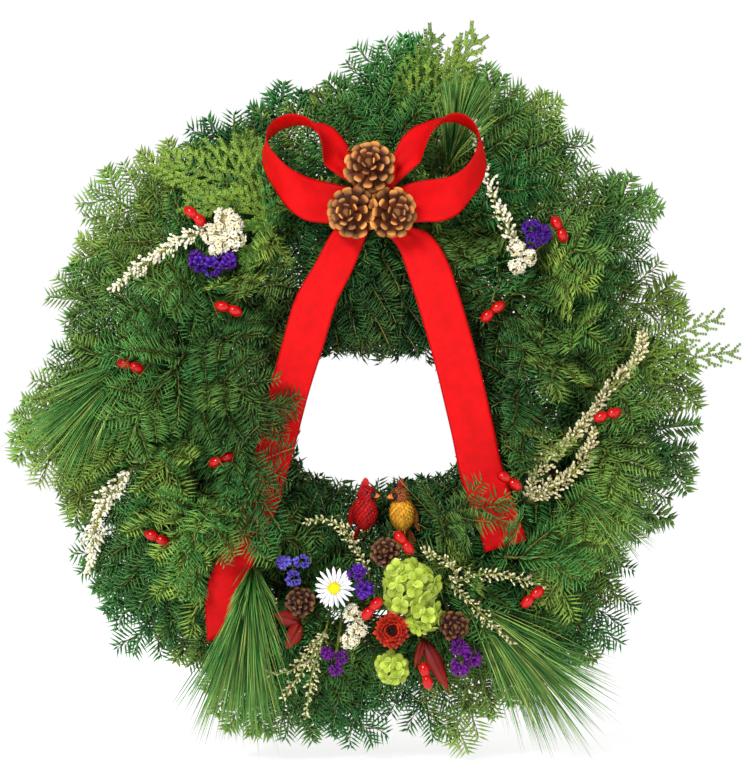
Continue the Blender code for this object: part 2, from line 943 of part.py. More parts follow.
def budded(controls, bud, thick=1.3, step=18.0, used=(0, 1, 2)):
    """A stem with small buds on every side."""
    controls = [Vector(at) for at in controls]
    controls[0] = past(controls[1], controls[0])
    length = sum((b - a).length for a, b in zip(controls, controls[1:]))
    points = curve(controls, max(4, round(length / step)))
    return leafy_stem(points, thick, Vector((0, 1, 0.02)), bud, 0.5, used)


WHITE_SPOTS = ((-142, -80, 150), (-132, -80, 163), (-124, -78, 147))
neck = Vector((-140, -64, 155))
spray = cluster(WHITE_SPOTS, 5, 11.5, neck)
spray.append(budded((neck, (-166, -74, 150), (-207, -66, 125), (-234, -58, 102)), 8.0, 1.8))
set_down("white_spray_upper_left", joined(neck, spray), "white")

WHITE_SPOTS = ((126, -78, 138), (137, -78, 130), (127, -78, 122))
neck = Vector((130, -64, 130))
spray = cluster(WHITE_SPOTS, 5, 10.0, neck)
spray.append(
    budded((neck, (115, -70, 165), (106, -64, 186), (96, -60, 215), (87, -58, 254)), 7.0, 1.6)
)
set_down("white_spray_upper_right", joined(neck, spray), "white")

neck = Vector((137, -72, -84))
spray = [
    budded(
        (
            neck,
            (156, -74, -70),
            (180, -72, -48),
            (191, -68, -30),
            (192, -66, -6),
            (203, -68, 12),
            (221, -66, 33),
            (232, -62, 62),
        ),
        10.5,
        2.4,
    )
]
set_down("astilbe_right", joined(neck, spray, 1.6), "cream")
neck = Vector((-218, -58, -58))
spray = [budded((neck, (-230, -62, -74), (-245, -58, -100), (-255, -50, -149)), 9.0, 2.4)]
set_down("astilbe_left", joined(neck, spray, 1.6), "cream")

neck = Vector((68, -80, -158))
spray = [
    budded((neck, (72, -92, -148), (62, -98, -136), (42, -100, -127)), 6.5),
    budded((neck, (99, -94, -149), (132, -92, -154), (150, -90, -160)), 7.0),
    budded((neck, (91, -92, -180), (122, -92, -210)), 6.0),
]
set_down("heather_right", joined(neck, spray), "cream")
neck = Vector((-42, -82, -198))
spray = [
    budded((neck, (-60, -90, -230), (-80, -86, -258)), 6.0),
    budded((neck, (-54, -92, -236), (-60, -88, -276)), 6.0),
    budded((neck, (-70, -92, -232), (-92, -88, -236)), 6.0),
]
set_down("heather_left", joined(neck, spray), "cream")
neck = Vector((-4, -80, -150))
spray = [
    budded((neck, (-14, -88, -130), (-26, -92, -110), (-44, -88, -101), (-60, -84, -104)), 5.0, 1.2)
]
set_down("heather_top", joined(neck, spray, 1.0), "cream")


def leaf(root, tip, width, face):
    """A pointed leaf blade with a raised midrib on both sides."""
    root = Vector(root)
    tip = Vector(tip)
    along = (tip - root).normalized()
    aside = along.cross(face).normalized() * width / 2
    middle = root.lerp(tip, 0.45)
    thick = aside.cross(along).normalized() * 0.8
    bm = bmesh.new()
    rim = [bm.verts.new(at) for at in (root, middle + aside, tip, middle - aside)]
    front = bm.verts.new(middle + thick)
    back = bm.verts.new(middle - thick)
    for k in range(4):
        n = (k + 1) % 4
        bm.faces.new((front, rim[k], rim[n]))
        bm.faces.new((back, rim[n], rim[k]))
    return bm


look = Vector((0.2, -1, 0.1))
neck = Vector((44, -82, -206))
leaves = [
    leaf(neck, (66, -92, -252), 15, look),
    leaf(neck, (36, -94, -232), 8, look),
]
set_down("red_leaves_right", joined(neck, leaves, 1.0), "maroon")
neck = Vector((-64, -82, -192))
leaves = [
    leaf(neck, (-76, -98, -214), 15, look),
    leaf(neck, (-88, -92, -184), 15, look),
]
set_down("red_leaves_left", joined(neck, leaves, 1.0), "maroon")

# Birds


def bird(name, paint, beak_to, body, chest):
    """A small bird perched on a stem, its crest up and its beak to one side."""
    foot = Vector(body)
    aside = Vector((beak_to, -0.35, 0)).normalized()
    back = Vector((-beak_to, 0.5, 0)).normalized()
    spine = [
        foot + Vector((0, 0, -16)) + back * 7,
        foot + Vector((0, 0, -11)) + back * 3,
        foot + Vector((0, 0, -3)),
        foot + Vector((0, 0, 6)) + aside * 1,
        foot + Vector((0, 0, 11)) + aside * 2,
    ]
    torso, _, _ = tube(spine, [2.5, 7.0, chest, 8.0, 4.0], 7, Vector((0, 1, 0)))
    face = foot + Vector((0, 0, 13)) + aside * 3.5
    skull = ball(face, (13, 13, 13), Vector((0, 0, 1)), 6, 4)
    crest = leaf(face + Vector((0, 0, 2)), face + Vector((0, 0, 14)) + back * 4, 8, FORWARD)
    beak = leaf(face + aside * 4, face + aside * 12 + Vector((0, 0, -1.5)), 6, FORWARD)
    tail = leaf(spine[1], spine[0] + Vector((0, 0, -14)) + back * 8, 10, FORWARD)
    wing = leaf(
        foot + Vector((0, -5, 6)) + back * 3,
        foot + Vector((0, -6, -15)) + back * 9,
        10,
        FORWARD,
    )
    shapes = [torso, skull, crest, beak, tail, wing]
    set_down(name, joined(foot + Vector((0, 6, -10)), shapes, 1.3), paint, True)


bird("bird_red", "red_bird", 1, (-8, -62, -92), 10.5)
bird("bird_yellow", "yellow_bird", -1, (25, -62, -93), 11.0)


# Pine tufts, cedar and fir

# The stem of each tuft, and the length of its needles
PINES = (
    ("pine_left", ((-198, -42, 52), (-222, -46, 32), (-244, -50, 8)), 0.85),
    ("pine_bottom_left", ((-110, -66, -136), (-118, -74, -160), (-124, -76, -188)), 1.0),
    ("pine_bottom_right", ((78, -62, -170), (98, -66, -190), (124, -66, -214)), 1.0),
    ("pine_right", ((160, -52, -62), (178, -60, -74), (192, -60, -86)), 0.65),
    ("pine_top_right", ((64, -46, 206), (70, -52, 226), (75, -52, 246)), 0.62),
)
for name, controls, size in PINES:
    controls = [Vector(at) for at in controls]
    needles = leafy_stem(
        curve(controls, 7), 2.4, Vector((0, 1, 0.02)), PINE_NEEDLE * size, 2.8, range(5), 5, 0.9
    )
    set_down(name, joined(controls[0], [needles], 1.8), "pine")

CEDARS = (
    (
        "cedar_upper_left",
        (-84, -52, 168),
        (
            ((-115, -62, 190), (-150, -60, 205), (-190, -52, 216)),
            ((-104, -66, 148), (-112, -68, 120)),
            ((-100, -58, 205), (-118, -56, 240)),
        ),
    ),
    (
        "cedar_top",
        (26, -44, 230),
        (
            ((48, -50, 270), (76, -46, 305), (92, -42, 332)),
            ((40, -48, 290), (54, -44, 332)),
        ),
    ),
    (
        "cedar_right",
        (204, -44, 18),
        (
            ((250, -50, 36), (290, -46, 42), (328, -40, 48)),
            ((240, -50, 48), (280, -46, 66), (314, -40, 79)),
        ),
    ),
)
for name, root, twigs in CEDARS:
    root = Vector(root)
    fronds = [budded((root, *twig), 9.0, 1.5, 12.0, (0, 1)) for twig in twigs]
    set_down(name, joined(root, fronds, 1.6), "cedar")

# Tips of the fir sprays round the outside, clockwise from the top
FIR_OUTER = (
    (4, -40, 324),
    (28, -24, 336),
    (118, -30, 300),
    (156, -16, 286),
    (186, -36, 246),
    (204, -50, 202),
    (255, -22, 194),
    (248, -44, 148),
    (284, -24, 94),
    (298, -18, 12),
    (257, -40, -19),
    (293, -20, -64),
    (256, -24, -114),
    (212, -20, -176),
    (218, -40, -226),
    (190, -18, -236),
    (104, -30, -284),
    (73, -44, -309),
    (-2, -40, -309),
    (-32, -18, -302),
    (-112, -24, -302),
    (-193, -18, -222),
    (-219, -44, -226),
    (-229, -48, -122),
    (-283, -22, -95),
    (-313, -36, -59),
    (-332, -20, -32),
    (-309, -40, 4),
    (-296, -38, 98),
    (-270, -20, 152),
    (-258, -36, 197),
    (-214, -22, 230),
    (-152, -34, 260),
    (-95, -24, 284),
    (-27, -22, 297),
)

# Sprays over the front and round the hole: a point on the way, and the tip
FIR_FRONT = (
    ((-173, -62, 39), (-228, -66, -32)),
    ((-138, -66, 51), (-130, -70, -20)),
    ((-128, -88, 4), (-70, -99, -6)),
    ((-124, -88, -28), (-112, -95, -92)),
    ((-152, -60, -85), (-134, -62, -134)),
    ((-176, -56, -100), (-166, -60, -166)),
    ((-150, -52, 90), (-196, -66, 80)),
    ((120, -56, 100), (166, -66, 96)),
    ((136, -60, 60), (166, -66, 12)),
    ((124, -66, 8), (150, -70, -50)),
    ((150, -94, -121), (190, -96, -134)),
    ((170, -66, -104), (236, -60, -100)),
    ((0, -56, 262), (-30, -50, 250)),
    ((118, -50, 196), (160, -52, 196)),
    ((-20, -52, 128), (-46, -56, 52)),
    ((0, -56, 128), (-12, -60, 36)),
    ((28, -56, 124), (22, -60, 36)),
    ((-92, -36, 78), (-64, -40, 26)),
    ((96, -36, 60), (66, -40, 10)),
    ((-118, -36, -40), (-62, -40, -56)),
    ((112, -36, -50), (62, -40, -57)),
    ((-40, -36, -140), (-44, -46, -70)),
    ((-4, -40, -130), (4, -44, -66)),
    ((60, -44, -130), (46, -50, -62)),
    ((-70, -50, -110), (-30, -76, -98)),
    ((60, -60, -110), (84, -66, -96)),
)
# How far the roots of the outer sprays lie from below their tips towards the top
SWEEP = 0.9
ROOT_MARGIN = math.radians(5)
# Points at which the way of a spray is tried, and the shifts back and forth that are tried
BOUGH_POINTS = 40
BOUGH_SHIFTS = (0, 8, -8, 16, -16, 24, -24, 32, 40)


def bough(angle, via, tip):
    """A fir spray from the bound stems past a point to its tip, bent clear of the rest."""
    root = on_ring(angle, RING_RADIUS, bundle_y(BUNDLE_RADIUS))
    best = None
    for shift in BOUGH_SHIFTS:
        bend = Vector((0, shift, 0))
        fine = curve([root, via + bend, tip + bend * 0.8], BOUGH_POINTS)
        free = 0
        for k, at in enumerate(fine):
            out = math.hypot(at.x, at.z) - RING_RADIUS
            outside = math.hypot(out, at.y - root.y) > BUNDLE_RADIUS + BUNDLE_MARGIN
            if outside and near_something(at, BOUGH_MARGIN):
                break
            free = k
        if best is None or free > best[0]:
            best = (free, fine)
        if free == BOUGH_POINTS - 1:
            break
    way = best[1][: best[0] + 1]
    length = sum((b - a).length for a, b in zip(way, way[1:]))
    if length < SHORTEST_BOUGH:
        return None
    points = curve(way, max(4, round(length / FIR_STEP)))
    return leafy_stem(
        points, FIR_STEM, Vector((0, 1, 0.02)), FIR_NEEDLE, 0.9, (0, 1), 3, 0.6, BUNDLE_RADIUS
    )


boughs = [[] for _ in cores]
bunch_angle = 2 * math.pi / BUNCHES


def bunch_of(angle):
    """The bunch that a spray roots in, and its angle kept off the bunch's ends."""
    angle %= 2 * math.pi
    number = int(angle / bunch_angle)
    start = number * bunch_angle + ROOT_MARGIN
    end = (number + 1) * bunch_angle - ROOT_MARGIN
    return number, min(max(angle, start), end)


for tip in FIR_OUTER:
    tip = Vector(tip)
    number, angle = bunch_of(math.atan2(tip.x, tip.z) * SWEEP)
    foot = on_ring(angle, RING_RADIUS + 26, -30)
    boughs[number].append((angle, foot.lerp(tip, 0.3) + FORWARD * 9, tip))
for via, tip in FIR_FRONT:
    via = Vector(via)
    number, angle = bunch_of(math.atan2(via.x, via.z))
    boughs[number].append((angle, via, Vector(tip)))
for k, core in enumerate(cores):
    sprays = [bough(*way) for way in boughs[k]]
    set_down(f"fir_bunch_{k + 1}", fuse([core, *[s for s in sprays if s]]), "fir")
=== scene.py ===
import math
import random

import bmesh
import bpy
import numpy as np
from mathutils import Matrix, Vector
from mathutils.bvhtree import BVHTree


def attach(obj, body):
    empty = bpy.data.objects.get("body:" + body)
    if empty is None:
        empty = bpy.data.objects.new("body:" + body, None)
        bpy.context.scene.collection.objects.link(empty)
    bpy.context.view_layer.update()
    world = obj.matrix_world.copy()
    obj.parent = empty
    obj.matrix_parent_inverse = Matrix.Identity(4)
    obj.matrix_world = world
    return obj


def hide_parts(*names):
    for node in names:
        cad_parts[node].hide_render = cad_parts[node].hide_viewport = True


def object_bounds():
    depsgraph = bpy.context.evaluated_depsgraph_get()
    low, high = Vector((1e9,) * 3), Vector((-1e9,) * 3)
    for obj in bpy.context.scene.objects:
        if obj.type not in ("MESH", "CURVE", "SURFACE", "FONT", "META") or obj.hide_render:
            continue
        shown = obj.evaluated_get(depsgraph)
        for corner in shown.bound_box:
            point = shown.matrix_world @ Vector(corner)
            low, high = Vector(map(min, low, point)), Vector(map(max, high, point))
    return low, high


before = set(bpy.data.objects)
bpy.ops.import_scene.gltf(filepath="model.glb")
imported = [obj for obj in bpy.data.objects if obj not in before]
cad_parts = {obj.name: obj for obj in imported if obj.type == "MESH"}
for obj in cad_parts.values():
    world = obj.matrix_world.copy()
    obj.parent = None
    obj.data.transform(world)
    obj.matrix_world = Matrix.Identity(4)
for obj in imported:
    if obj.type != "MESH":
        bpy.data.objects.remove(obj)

# Lengths in the functions and lists are in millimetres from the centre of the ring:
# x to the right, z up, y back. The frame's origin is under the top of the ring wire.
CAD_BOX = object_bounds()
MM = 0.001
RING_RADIUS = 178.0
WIRE_RADIUS = 2.0
WELD = 2.6
BINDING_RADIUS = 0.7
# The bound stems of a bunch, and the grooves between bunches where the wire goes round
BUNDLE_RADIUS = 14.0
GROOVE_RADIUS = 10.0
BUNCHES = 6
RIBBON_WIDTH = 38.0
RIBBON_THICK = 0.6
RIBBON_CELLS = 12
SELVAGE = 1.2
# Parts that touch are this far apart, and round stems have flat sides
GAP = 0.35
FLAT = math.cos(math.pi / 6)
CENTRE_DROP = RING_RADIUS - WIRE_RADIUS
LOW = [c / MM + d for c, d in zip(CAD_BOX[0], (0, 0, CENTRE_DROP))]
HIGH = [c / MM + d for c, d in zip(CAD_BOX[1], (0, 0, CENTRE_DROP))]
FORWARD = Vector((0, -1, 0))
UP = Vector((0, 0, 1))
GOLDEN = math.pi * (3 - math.sqrt(5))

# The clear hole: its middle, and how far it reaches from there at each clock angle in degrees
HOLE_MIDDLE = (2.0, -14.0)
HOLE_REACH = (
    (0, 50), (48, 72), (90, 70), (122, 84), (150, 60), (180, 56), (212, 66), (236, 80),
    (270, 66), (318, 76), (360, 50),
)
CAMERA = Vector((1.0, -2435.0, 14.0))
# Behind this depth there are only the wires that flowers and berries stand on
PICKS_FROM = -50.0
# How far behind a needle something counts as hidden by it
SIGHT = 140
# The stretch of the left tail that needles cross: its lower and upper height, and its side
CROSSED_LOW = -132
CROSSED_HIGH = -101
CROSSED_SIDE = -85

random.seed(1225)


# Shapes that repeat, each modelled once: z along it from 0 to 1, x across, y its thickness


def edit_points():
    """Edit mode on the active object, with points to choose from."""
    bpy.ops.object.mode_set(mode="EDIT")
    bpy.ops.mesh.select_mode(type="VERT")


def choose(test):
    """Selects the vertices that pass the test, in edit mode."""
    mesh = bpy.context.active_object.data
    bm = bmesh.from_edit_mesh(mesh)
    for group in (bm.faces, bm.edges, bm.verts):
        for element in group:
            element.select = False
    for vert in bm.verts:
        if test(vert.co):
            vert.select_set(True)
    bm.select_flush_mode()
    bmesh.update_edit_mesh(mesh)


def settled():
    """The active object, back in object mode, with its place in its mesh."""
    if bpy.context.mode != "OBJECT":
        bpy.ops.object.mode_set(mode="OBJECT")
    bpy.ops.object.transform_apply(location=True, rotation=True, scale=True)
    return bpy.context.active_object


def apply_modifiers():
    """Makes the active object's modifiers part of its mesh."""
    for modifier in list(bpy.context.active_object.modifiers):
        bpy.ops.object.modifier_apply(modifier=modifier.name)


def pattern_made():
    """Takes the active object's points and triangles, and removes the object."""
    shape = settled()
    bm = bmesh.new()
    bm.from_mesh(shape.data)
    bmesh.ops.recalc_face_normals(bm, faces=bm.faces)
    if bm.calc_volume(signed=True) < 0:
        bmesh.ops.reverse_faces(bm, faces=bm.faces)
    bmesh.ops.triangulate(bm, faces=bm.faces)
    bm.verts.index_update()
    points = np.array([v.co[:] for v in bm.verts])
    faces = np.array([[v.index for v in f.verts] for f in bm.faces])
    bm.free()
    bpy.data.objects.remove(shape)
    return points, faces


def model_needle():
    """A flat needle, widest a third of the way up."""
    bpy.ops.mesh.primitive_cone_add(vertices=3, radius1=0.55, depth=0.65, location=(0, 0, 0.675))
    settled()
    edit_points()
    choose(lambda co: co.z < 0.4)
    bpy.ops.mesh.poke()
    choose(lambda co: co.z < 0.4 and math.hypot(co.x, co.y) < 0.2)
    bpy.ops.transform.translate(value=(0, 0, -0.35))
    return pattern_made()


def model_long_needle():
    """A thread of a needle with two joints along it, so that it can droop."""
    bpy.ops.mesh.primitive_cone_add(vertices=3, radius1=0.5, depth=1.0, location=(0, 0, 0.5))
    settled()
    edit_points()
    for share in (0.35, 0.7):
        bpy.ops.mesh.select_all(action="SELECT")
        bpy.ops.mesh.bisect(plane_co=(0, 0, share), plane_no=(0, 0, 1))
    for share, wider in ((0.35, 1.4), (0.7, 2.4)):
        choose(lambda co: abs(co.z - share) < 0.05)
        bpy.ops.transform.resize(value=(wider, wider, 1))
    return pattern_made()


def model_petal(corners, cup, root):
    """A rounded blade, dished in the middle and drawn in at its root."""
    bpy.ops.mesh.primitive_circle_add(
        vertices=corners,
        radius=0.5,
        fill_type="NGON",
        location=(0, 0, 0.5),
        rotation=(math.pi / 2, 0, 0),
    )
    settled()
    edit_points()
    if cup:
        bpy.ops.mesh.inset(thickness=0.2, depth=0)
        bpy.ops.transform.translate(value=(0, -cup, 0))
    choose(lambda co: co.z < 0.3)
    bpy.ops.transform.resize(value=(root, 1, 1))
    bpy.ops.object.mode_set(mode="OBJECT")
    wall = bpy.context.active_object.modifiers.new("wall", "SOLIDIFY")
    wall.thickness = 0.07
    wall.offset = 0
    apply_modifiers()
    return pattern_made()


def model_bud():
    """A small egg with five sides, pointed towards its tip."""
    bpy.ops.mesh.primitive_uv_sphere_add(
        segments=5, ring_count=3, radius=0.5, location=(0, 0, 0.5)
    )
    settled()
    edit_points()
    choose(lambda co: 0.5 < co.z < 0.9)
    bpy.ops.transform.resize(value=(0.75, 0.75, 1))
    return pattern_made()


def model_ball(around, along):
    """A ball with a small dimple at its end."""
    bpy.ops.mesh.primitive_uv_sphere_add(
        segments=around, ring_count=along, radius=0.5, location=(0, 0, 0)
    )
    settled()
    edit_points()
    choose(lambda co: co.z > 0.499)
    bpy.ops.transform.translate(value=(0, 0, -0.03))
    return pattern_made()


def model_scale():
    """A woody scale with a thick rounded lip."""
    bpy.ops.mesh.primitive_cube_add(size=1, location=(0, 0, 0.4))
    settled()
    edit_points()
    choose(lambda co: co.z < 0)
    bpy.ops.transform.translate(value=(0, 0, 0.1))
    bpy.ops.transform.resize(value=(0.5, 0.5, 1))
    choose(lambda co: co.z > 0.8)
    bpy.ops.transform.resize(value=(1.12, 0.75, 1))
    bpy.ops.mesh.extrude_region_move(TRANSFORM_OT_translate={"value": (0, -0.1, 0.22)})
    bpy.ops.transform.resize(value=(0.72, 0.8, 1))
    bpy.ops.object.mode_set(mode="OBJECT")
    bpy.context.active_object.modifiers.new("round", "SUBSURF").levels = 1
    apply_modifiers()
    return pattern_made()


def model_leaf():
    """A pointed leaf blade, folded a little along its midrib."""
    bpy.ops.mesh.primitive_grid_add(
        x_subdivisions=4, y_subdivisions=8, size=1, location=(0, 0, 0.5), rotation=(math.pi / 2, 0, 0)
    )
    shape = settled()
    for vert in shape.data.vertices:
        along = min(max(vert.co.z, 0.0), 1.0)
        vert.co.x *= max(0.04, math.sin(math.pi * along**0.8)) * 0.95
        vert.co.y = abs(vert.co.x) * -0.35 - 0.35 * (along - 0.5) ** 2
    wall = shape.modifiers.new("wall", "SOLIDIFY")
    wall.thickness = 0.03
    wall.offset = 0
    apply_modifiers()
    return pattern_made()


bpy.ops.object.select_all(action="DESELECT")
NEEDLE = model_needle()
LONG_NEEDLE = model_long_needle()
PETAL = model_petal(8, 0.12, 0.55)
ROUND_PETAL = model_petal(8, 0.1, 0.8)
BRACT = model_petal(5, 0.0, 0.7)
BUD = model_bud()
BALL = model_ball(20, 14)
SCALE = model_scale()
LEAF = model_leaf()


# Materials


def linear(red, green, blue):
    """A colour of 0 to 255 as the shader's own numbers."""
    return tuple((c / 255) ** 2.2 for c in (red, green, blue)) + (1.0,)


def node(tree, kind, **values):
    """A new node with values on its sockets, named with _ for a space."""
    made = tree.nodes.new("ShaderNode" + kind)
    for socket, value in values.items():
        made.inputs[socket.replace("_", " ")].default_value = value
    return made


def maths(tree, operation):
    """A node that works out one sum."""
    made = node(tree, "Math")
    made.operation = operation
    return made


def colour_mix(tree):
    """A node that mixes two colours, A and B."""
    made = node(tree, "Mix")
    made.data_type = "RGBA"
    return made


def ramp_between(tree, colours, places=(0.0, 1.0)):
    """A node that turns a value into a colour between two."""
    made = node(tree, "ValToRGB")
    for stop, place, colour in zip(made.color_ramp.elements, places, colours):
        stop.position = place
        stop.color = colour
    return made


def join(tree, *links):
    """Links of a node's output to a node's input, each given as node, socket, node, socket."""
    for source, given, target, taken in links:
        tree.links.new(source.outputs[given], target.inputs[taken])


def grown_colour():
    """Colour along a needle, petal or scale, different from one to the next."""
    group = bpy.data.node_groups.new("grown_colour", "ShaderNodeTree")
    put = group.interface.new_socket
    for name in ("Root", "Body", "Tip", "Young"):
        put(name, in_out="INPUT", socket_type="NodeSocketColor")
    for name in ("Vary", "Tip from"):
        put(name, in_out="INPUT", socket_type="NodeSocketFloat")
    put("Colour", in_out="OUTPUT", socket_type="NodeSocketColor")
    put("Rough", in_out="OUTPUT", socket_type="NodeSocketFloat")
    given = group.nodes.new("NodeGroupInput")
    out = group.nodes.new("NodeGroupOutput")
    tone = node(group, "Attribute")
    tone.attribute_name = "tone"
    parts = node(group, "SeparateColor")
    join(group, (tone, "Color", parts, "Color"))
    last, last_socket = given, "Root"
    spans = (("Body", 0.0, 0.4, "Green"), ("Tip", 0.0, 1.0, "Green"), ("Young", 0.0, 1.0, "Blue"))
    for name, start, end, channel in spans:
        share = node(group, "MapRange", From_Min=start, From_Max=end)
        if name == "Tip":
            join(group, (given, "Tip from", share, "From Min"))
        mix = colour_mix(group)
        join(
            group,
            (parts, channel, share, "Value"),
            (share, "Result", mix, "Factor"),
            (last, last_socket, mix, "A"),
            (given, name, mix, "B"),
        )
        last, last_socket = mix, "Result"
    # The red channel of tone and a fine noise make each copy lighter or darker by Vary: a random tone, and
    # in the fir needles also painted light and shade
    where = node(group, "TexCoord")
    patch = node(group, "TexNoise", Scale=90)
    total = maths(group, "ADD")
    centred = maths(group, "SUBTRACT")
    centred.inputs[1].default_value = 1.0
    light = maths(group, "MULTIPLY_ADD")
    light.inputs[2].default_value = 1.0
    shade = node(group, "HueSaturation")
    rough = node(group, "MapRange", To_Min=0.42, To_Max=0.68)
    join(
        group,
        (where, "Object", patch, "Vector"),
        (parts, "Red", total, 0),
        (patch, "Fac", total, 1),
        (total, "Value", centred, 0),
        (centred, "Value", light, 0),
        (given, "Vary", light, 1),
        (last, last_socket, shade, "Color"),
        (light, "Value", shade, "Value"),
        (shade, "Color", out, "Colour"),
        (patch, "Fac", rough, "Value"),
        (rough, "Result", out, "Rough"),
    )
    return group


GROWN_COLOUR = grown_colour()


def new_material(name, **values):
    """A material, its tree and its shader, with values on the shader's own sockets."""
    made = bpy.data.materials.new(name)
    made.use_nodes = True
    shader = made.node_tree.nodes["Principled BSDF"]
    for socket, value in values.items():
        shader.inputs[socket.replace("_", " ")].default_value = value
    return made, made.node_tree, shader


def grown(name, root, body, tip, young, vary=0.5, glow=0.0, ribs=0.0, tip_from=0.55):
    """A plant's surface: colour along it, fine ribs, and light through thin petals."""
    made, tree, shader = new_material(
        name,
        Subsurface_Weight=glow,
        Subsurface_Radius=(0.002, 0.002, 0.001),
        Specular_IOR_Level=0.3,
    )
    colour = tree.nodes.new("ShaderNodeGroup")
    colour.node_tree = GROWN_COLOUR
    for socket, value in (("Root", root), ("Body", body), ("Tip", tip), ("Young", young)):
        colour.inputs[socket].default_value = linear(*value)
    colour.inputs["Vary"].default_value = vary
    colour.inputs["Tip from"].default_value = tip_from
    join(tree, (colour, "Colour", shader, "Base Color"), (colour, "Rough", shader, "Roughness"))
    if ribs:
        where = node(tree, "TexCoord")
        grain = node(tree, "TexNoise", Scale=900)
        bump = node(tree, "Bump", Distance=0.0004, Strength=ribs)
        join(
            tree,
            (where, "Object", grain, "Vector"),
            (grain, "Fac", bump, "Height"),
            (bump, "Normal", shader, "Normal"),
        )
    return made


def mottled(name, scale, colours, places=(0.0, 1.0), detail=2.0, **values):
    """A surface whose colour wanders between two, in patches finer with the scale."""
    made, tree, shader = new_material(name, **values)
    where = node(tree, "TexCoord")
    patches = node(tree, "TexNoise", Scale=scale, Detail=detail)
    ramp = ramp_between(tree, colours, places)
    join(
        tree,
        (where, "Object", patches, "Vector"),
        (patches, "Fac", ramp, "Fac"),
        (ramp, "Color", shader, "Base Color"),
    )
    return made


def metal_wire():
    """Green florist's wire, rubbed to bare metal in places."""
    colours = (linear(46, 66, 44), linear(86, 84, 70))
    return mottled("green_wire", 140, colours, (0.4, 0.62), 6, Metallic=0.7, Roughness=0.45)


def satin():
    """Woven ribbon: fine cross ribs, a firm edge on each side and a soft sheen."""
    made, tree, shader = new_material("red_ribbon", Roughness=0.55, Specular_IOR_Level=0.12)
    place = node(tree, "UVMap")
    place.uv_map = "ribbon"
    split = node(tree, "SeparateXYZ")
    ribs = node(tree, "TexWave", Scale=0.9, Distortion=0.3)
    ribs.bands_direction = "Y"
    cloud = node(tree, "TexNoise", Scale=0.08)
    ramp = ramp_between(tree, (linear(196, 4, 12), linear(216, 6, 14)), (0.3, 0.7))
    half = RIBBON_WIDTH / 2
    edge = node(tree, "MapRange", From_Min=half - SELVAGE - 0.4, From_Max=half - SELVAGE)
    away = maths(tree, "SUBTRACT")
    away.inputs[1].default_value = half
    off = maths(tree, "ABSOLUTE")
    mix = colour_mix(tree)
    mix.inputs["B"].default_value = linear(174, 4, 10)
    bump = node(tree, "Bump", Distance=0.0002, Strength=0.35)
    join(
        tree,
        (place, "UV", ribs, "Vector"),
        (place, "UV", cloud, "Vector"),
        (place, "UV", split, "Vector"),
        (split, "X", away, 0),
        (away, "Value", off, 0),
        (off, "Value", edge, "Value"),
        (cloud, "Fac", ramp, "Fac"),
        (ramp, "Color", mix, "A"),
        (edge, "Result", mix, "Factor"),
        (mix, "Result", shader, "Base Color"),
        (ribs, "Fac", bump, "Height"),
        (bump, "Normal", shader, "Normal"),
    )
    return made


def berry_skin():
    """Glossy lacquered red, a little uneven."""
    colours = (linear(172, 2, 8), linear(204, 6, 12))
    gloss = {"Roughness": 0.2, "Specular_IOR_Level": 0.35, "Coat_Weight": 0.12}
    return mottled("berry_skin", 260, colours, **gloss)


def pale_paper():
    """Dull white that lights itself a little, so that it fades into the room."""
    colours = ((0.93, 0.93, 0.93, 1), (0.96, 0.96, 0.96, 1))
    own_light = {"Emission_Color": (1, 1, 1, 1), "Emission_Strength": 0.62}
    return mottled("pale_floor", 3, colours, Roughness=0.9, Specular_IOR_Level=0.0, **own_light)


# The surfaces: colour at the root, along the body, at the tip, and where young or weathered
# The fir needles' near-black root is painted shade in the gaps between the needles, and their pale bluish
# tip is painted highlight
FIR = grown("fir_needles", (8, 26, 10), (36, 97, 42), (108, 176, 96), (142, 164, 66), 1.7, ribs=0.2)
PINE = grown("pine_needles", (14, 50, 18), (38, 108, 46), (100, 166, 78), (170, 188, 92), 1.1)
CEDAR = grown("cedar_scales", (28, 64, 22), (56, 104, 40), (108, 156, 62), (136, 164, 64), 0.9)
TWIG = grown("fir_twig", (58, 50, 24), (100, 90, 44), (122, 128, 58), (104, 122, 50), 0.8, ribs=0.6)
BARK = grown("twig_bark", (92, 66, 36), (140, 118, 58), (140, 146, 66), (120, 144, 58), 0.8, ribs=0.6)
DARK_CONE = grown(
    "dark_cone_scales", (14, 6, 4), (50, 24, 14), (130, 84, 46), (64, 32, 16), 0.6, ribs=0.7, tip_from=0.78
)
# The open cones' near-black scale root is painted shade deep between the scales; their pale tip is the
# scales' own tan rim and partly a painted highlight
CONE = grown(
    "cone_scales", (8, 3, 2), (76, 34, 12), (204, 136, 66), (104, 52, 18), 0.8, ribs=0.7, tip_from=0.82
)
LIME = grown(
    "hydrangea_petals", (104, 132, 30), (170, 192, 62), (206, 216, 116), (150, 174, 48), 0.55, glow=0.1
)
WHITE = grown(
    "white_petals", (178, 178, 196), (232, 232, 238), (255, 255, 255), (236, 226, 190), 0.35, glow=0.1
)
IVORY = grown(
    "ivory_florets", (222, 206, 150), (252, 248, 230), (255, 254, 244), (232, 218, 166), 0.45, glow=0.1
)
CREAM = grown("cream_buds", (156, 140, 84), (226, 216, 172), (248, 242, 218), (196, 180, 118), 0.7)
GOLD = grown("daisy_disc", (216, 176, 10), (250, 232, 20), (255, 244, 70), (240, 200, 20), 0.3)
VIOLET = grown("violet_petals", (44, 16, 98), (66, 26, 142), (92, 48, 172), (86, 26, 136), 0.5)
PLUM = grown("plum_petals", (56, 10, 82), (98, 22, 126), (140, 48, 166), (90, 16, 116), 0.6)
BLUE = grown("blue_petals", (70, 62, 150), (98, 92, 200), (138, 130, 220), (84, 60, 170), 0.5)
RUST = grown("strawflower_bracts", (36, 1, 3), (118, 9, 5), (196, 54, 16), (172, 36, 10), 0.8)
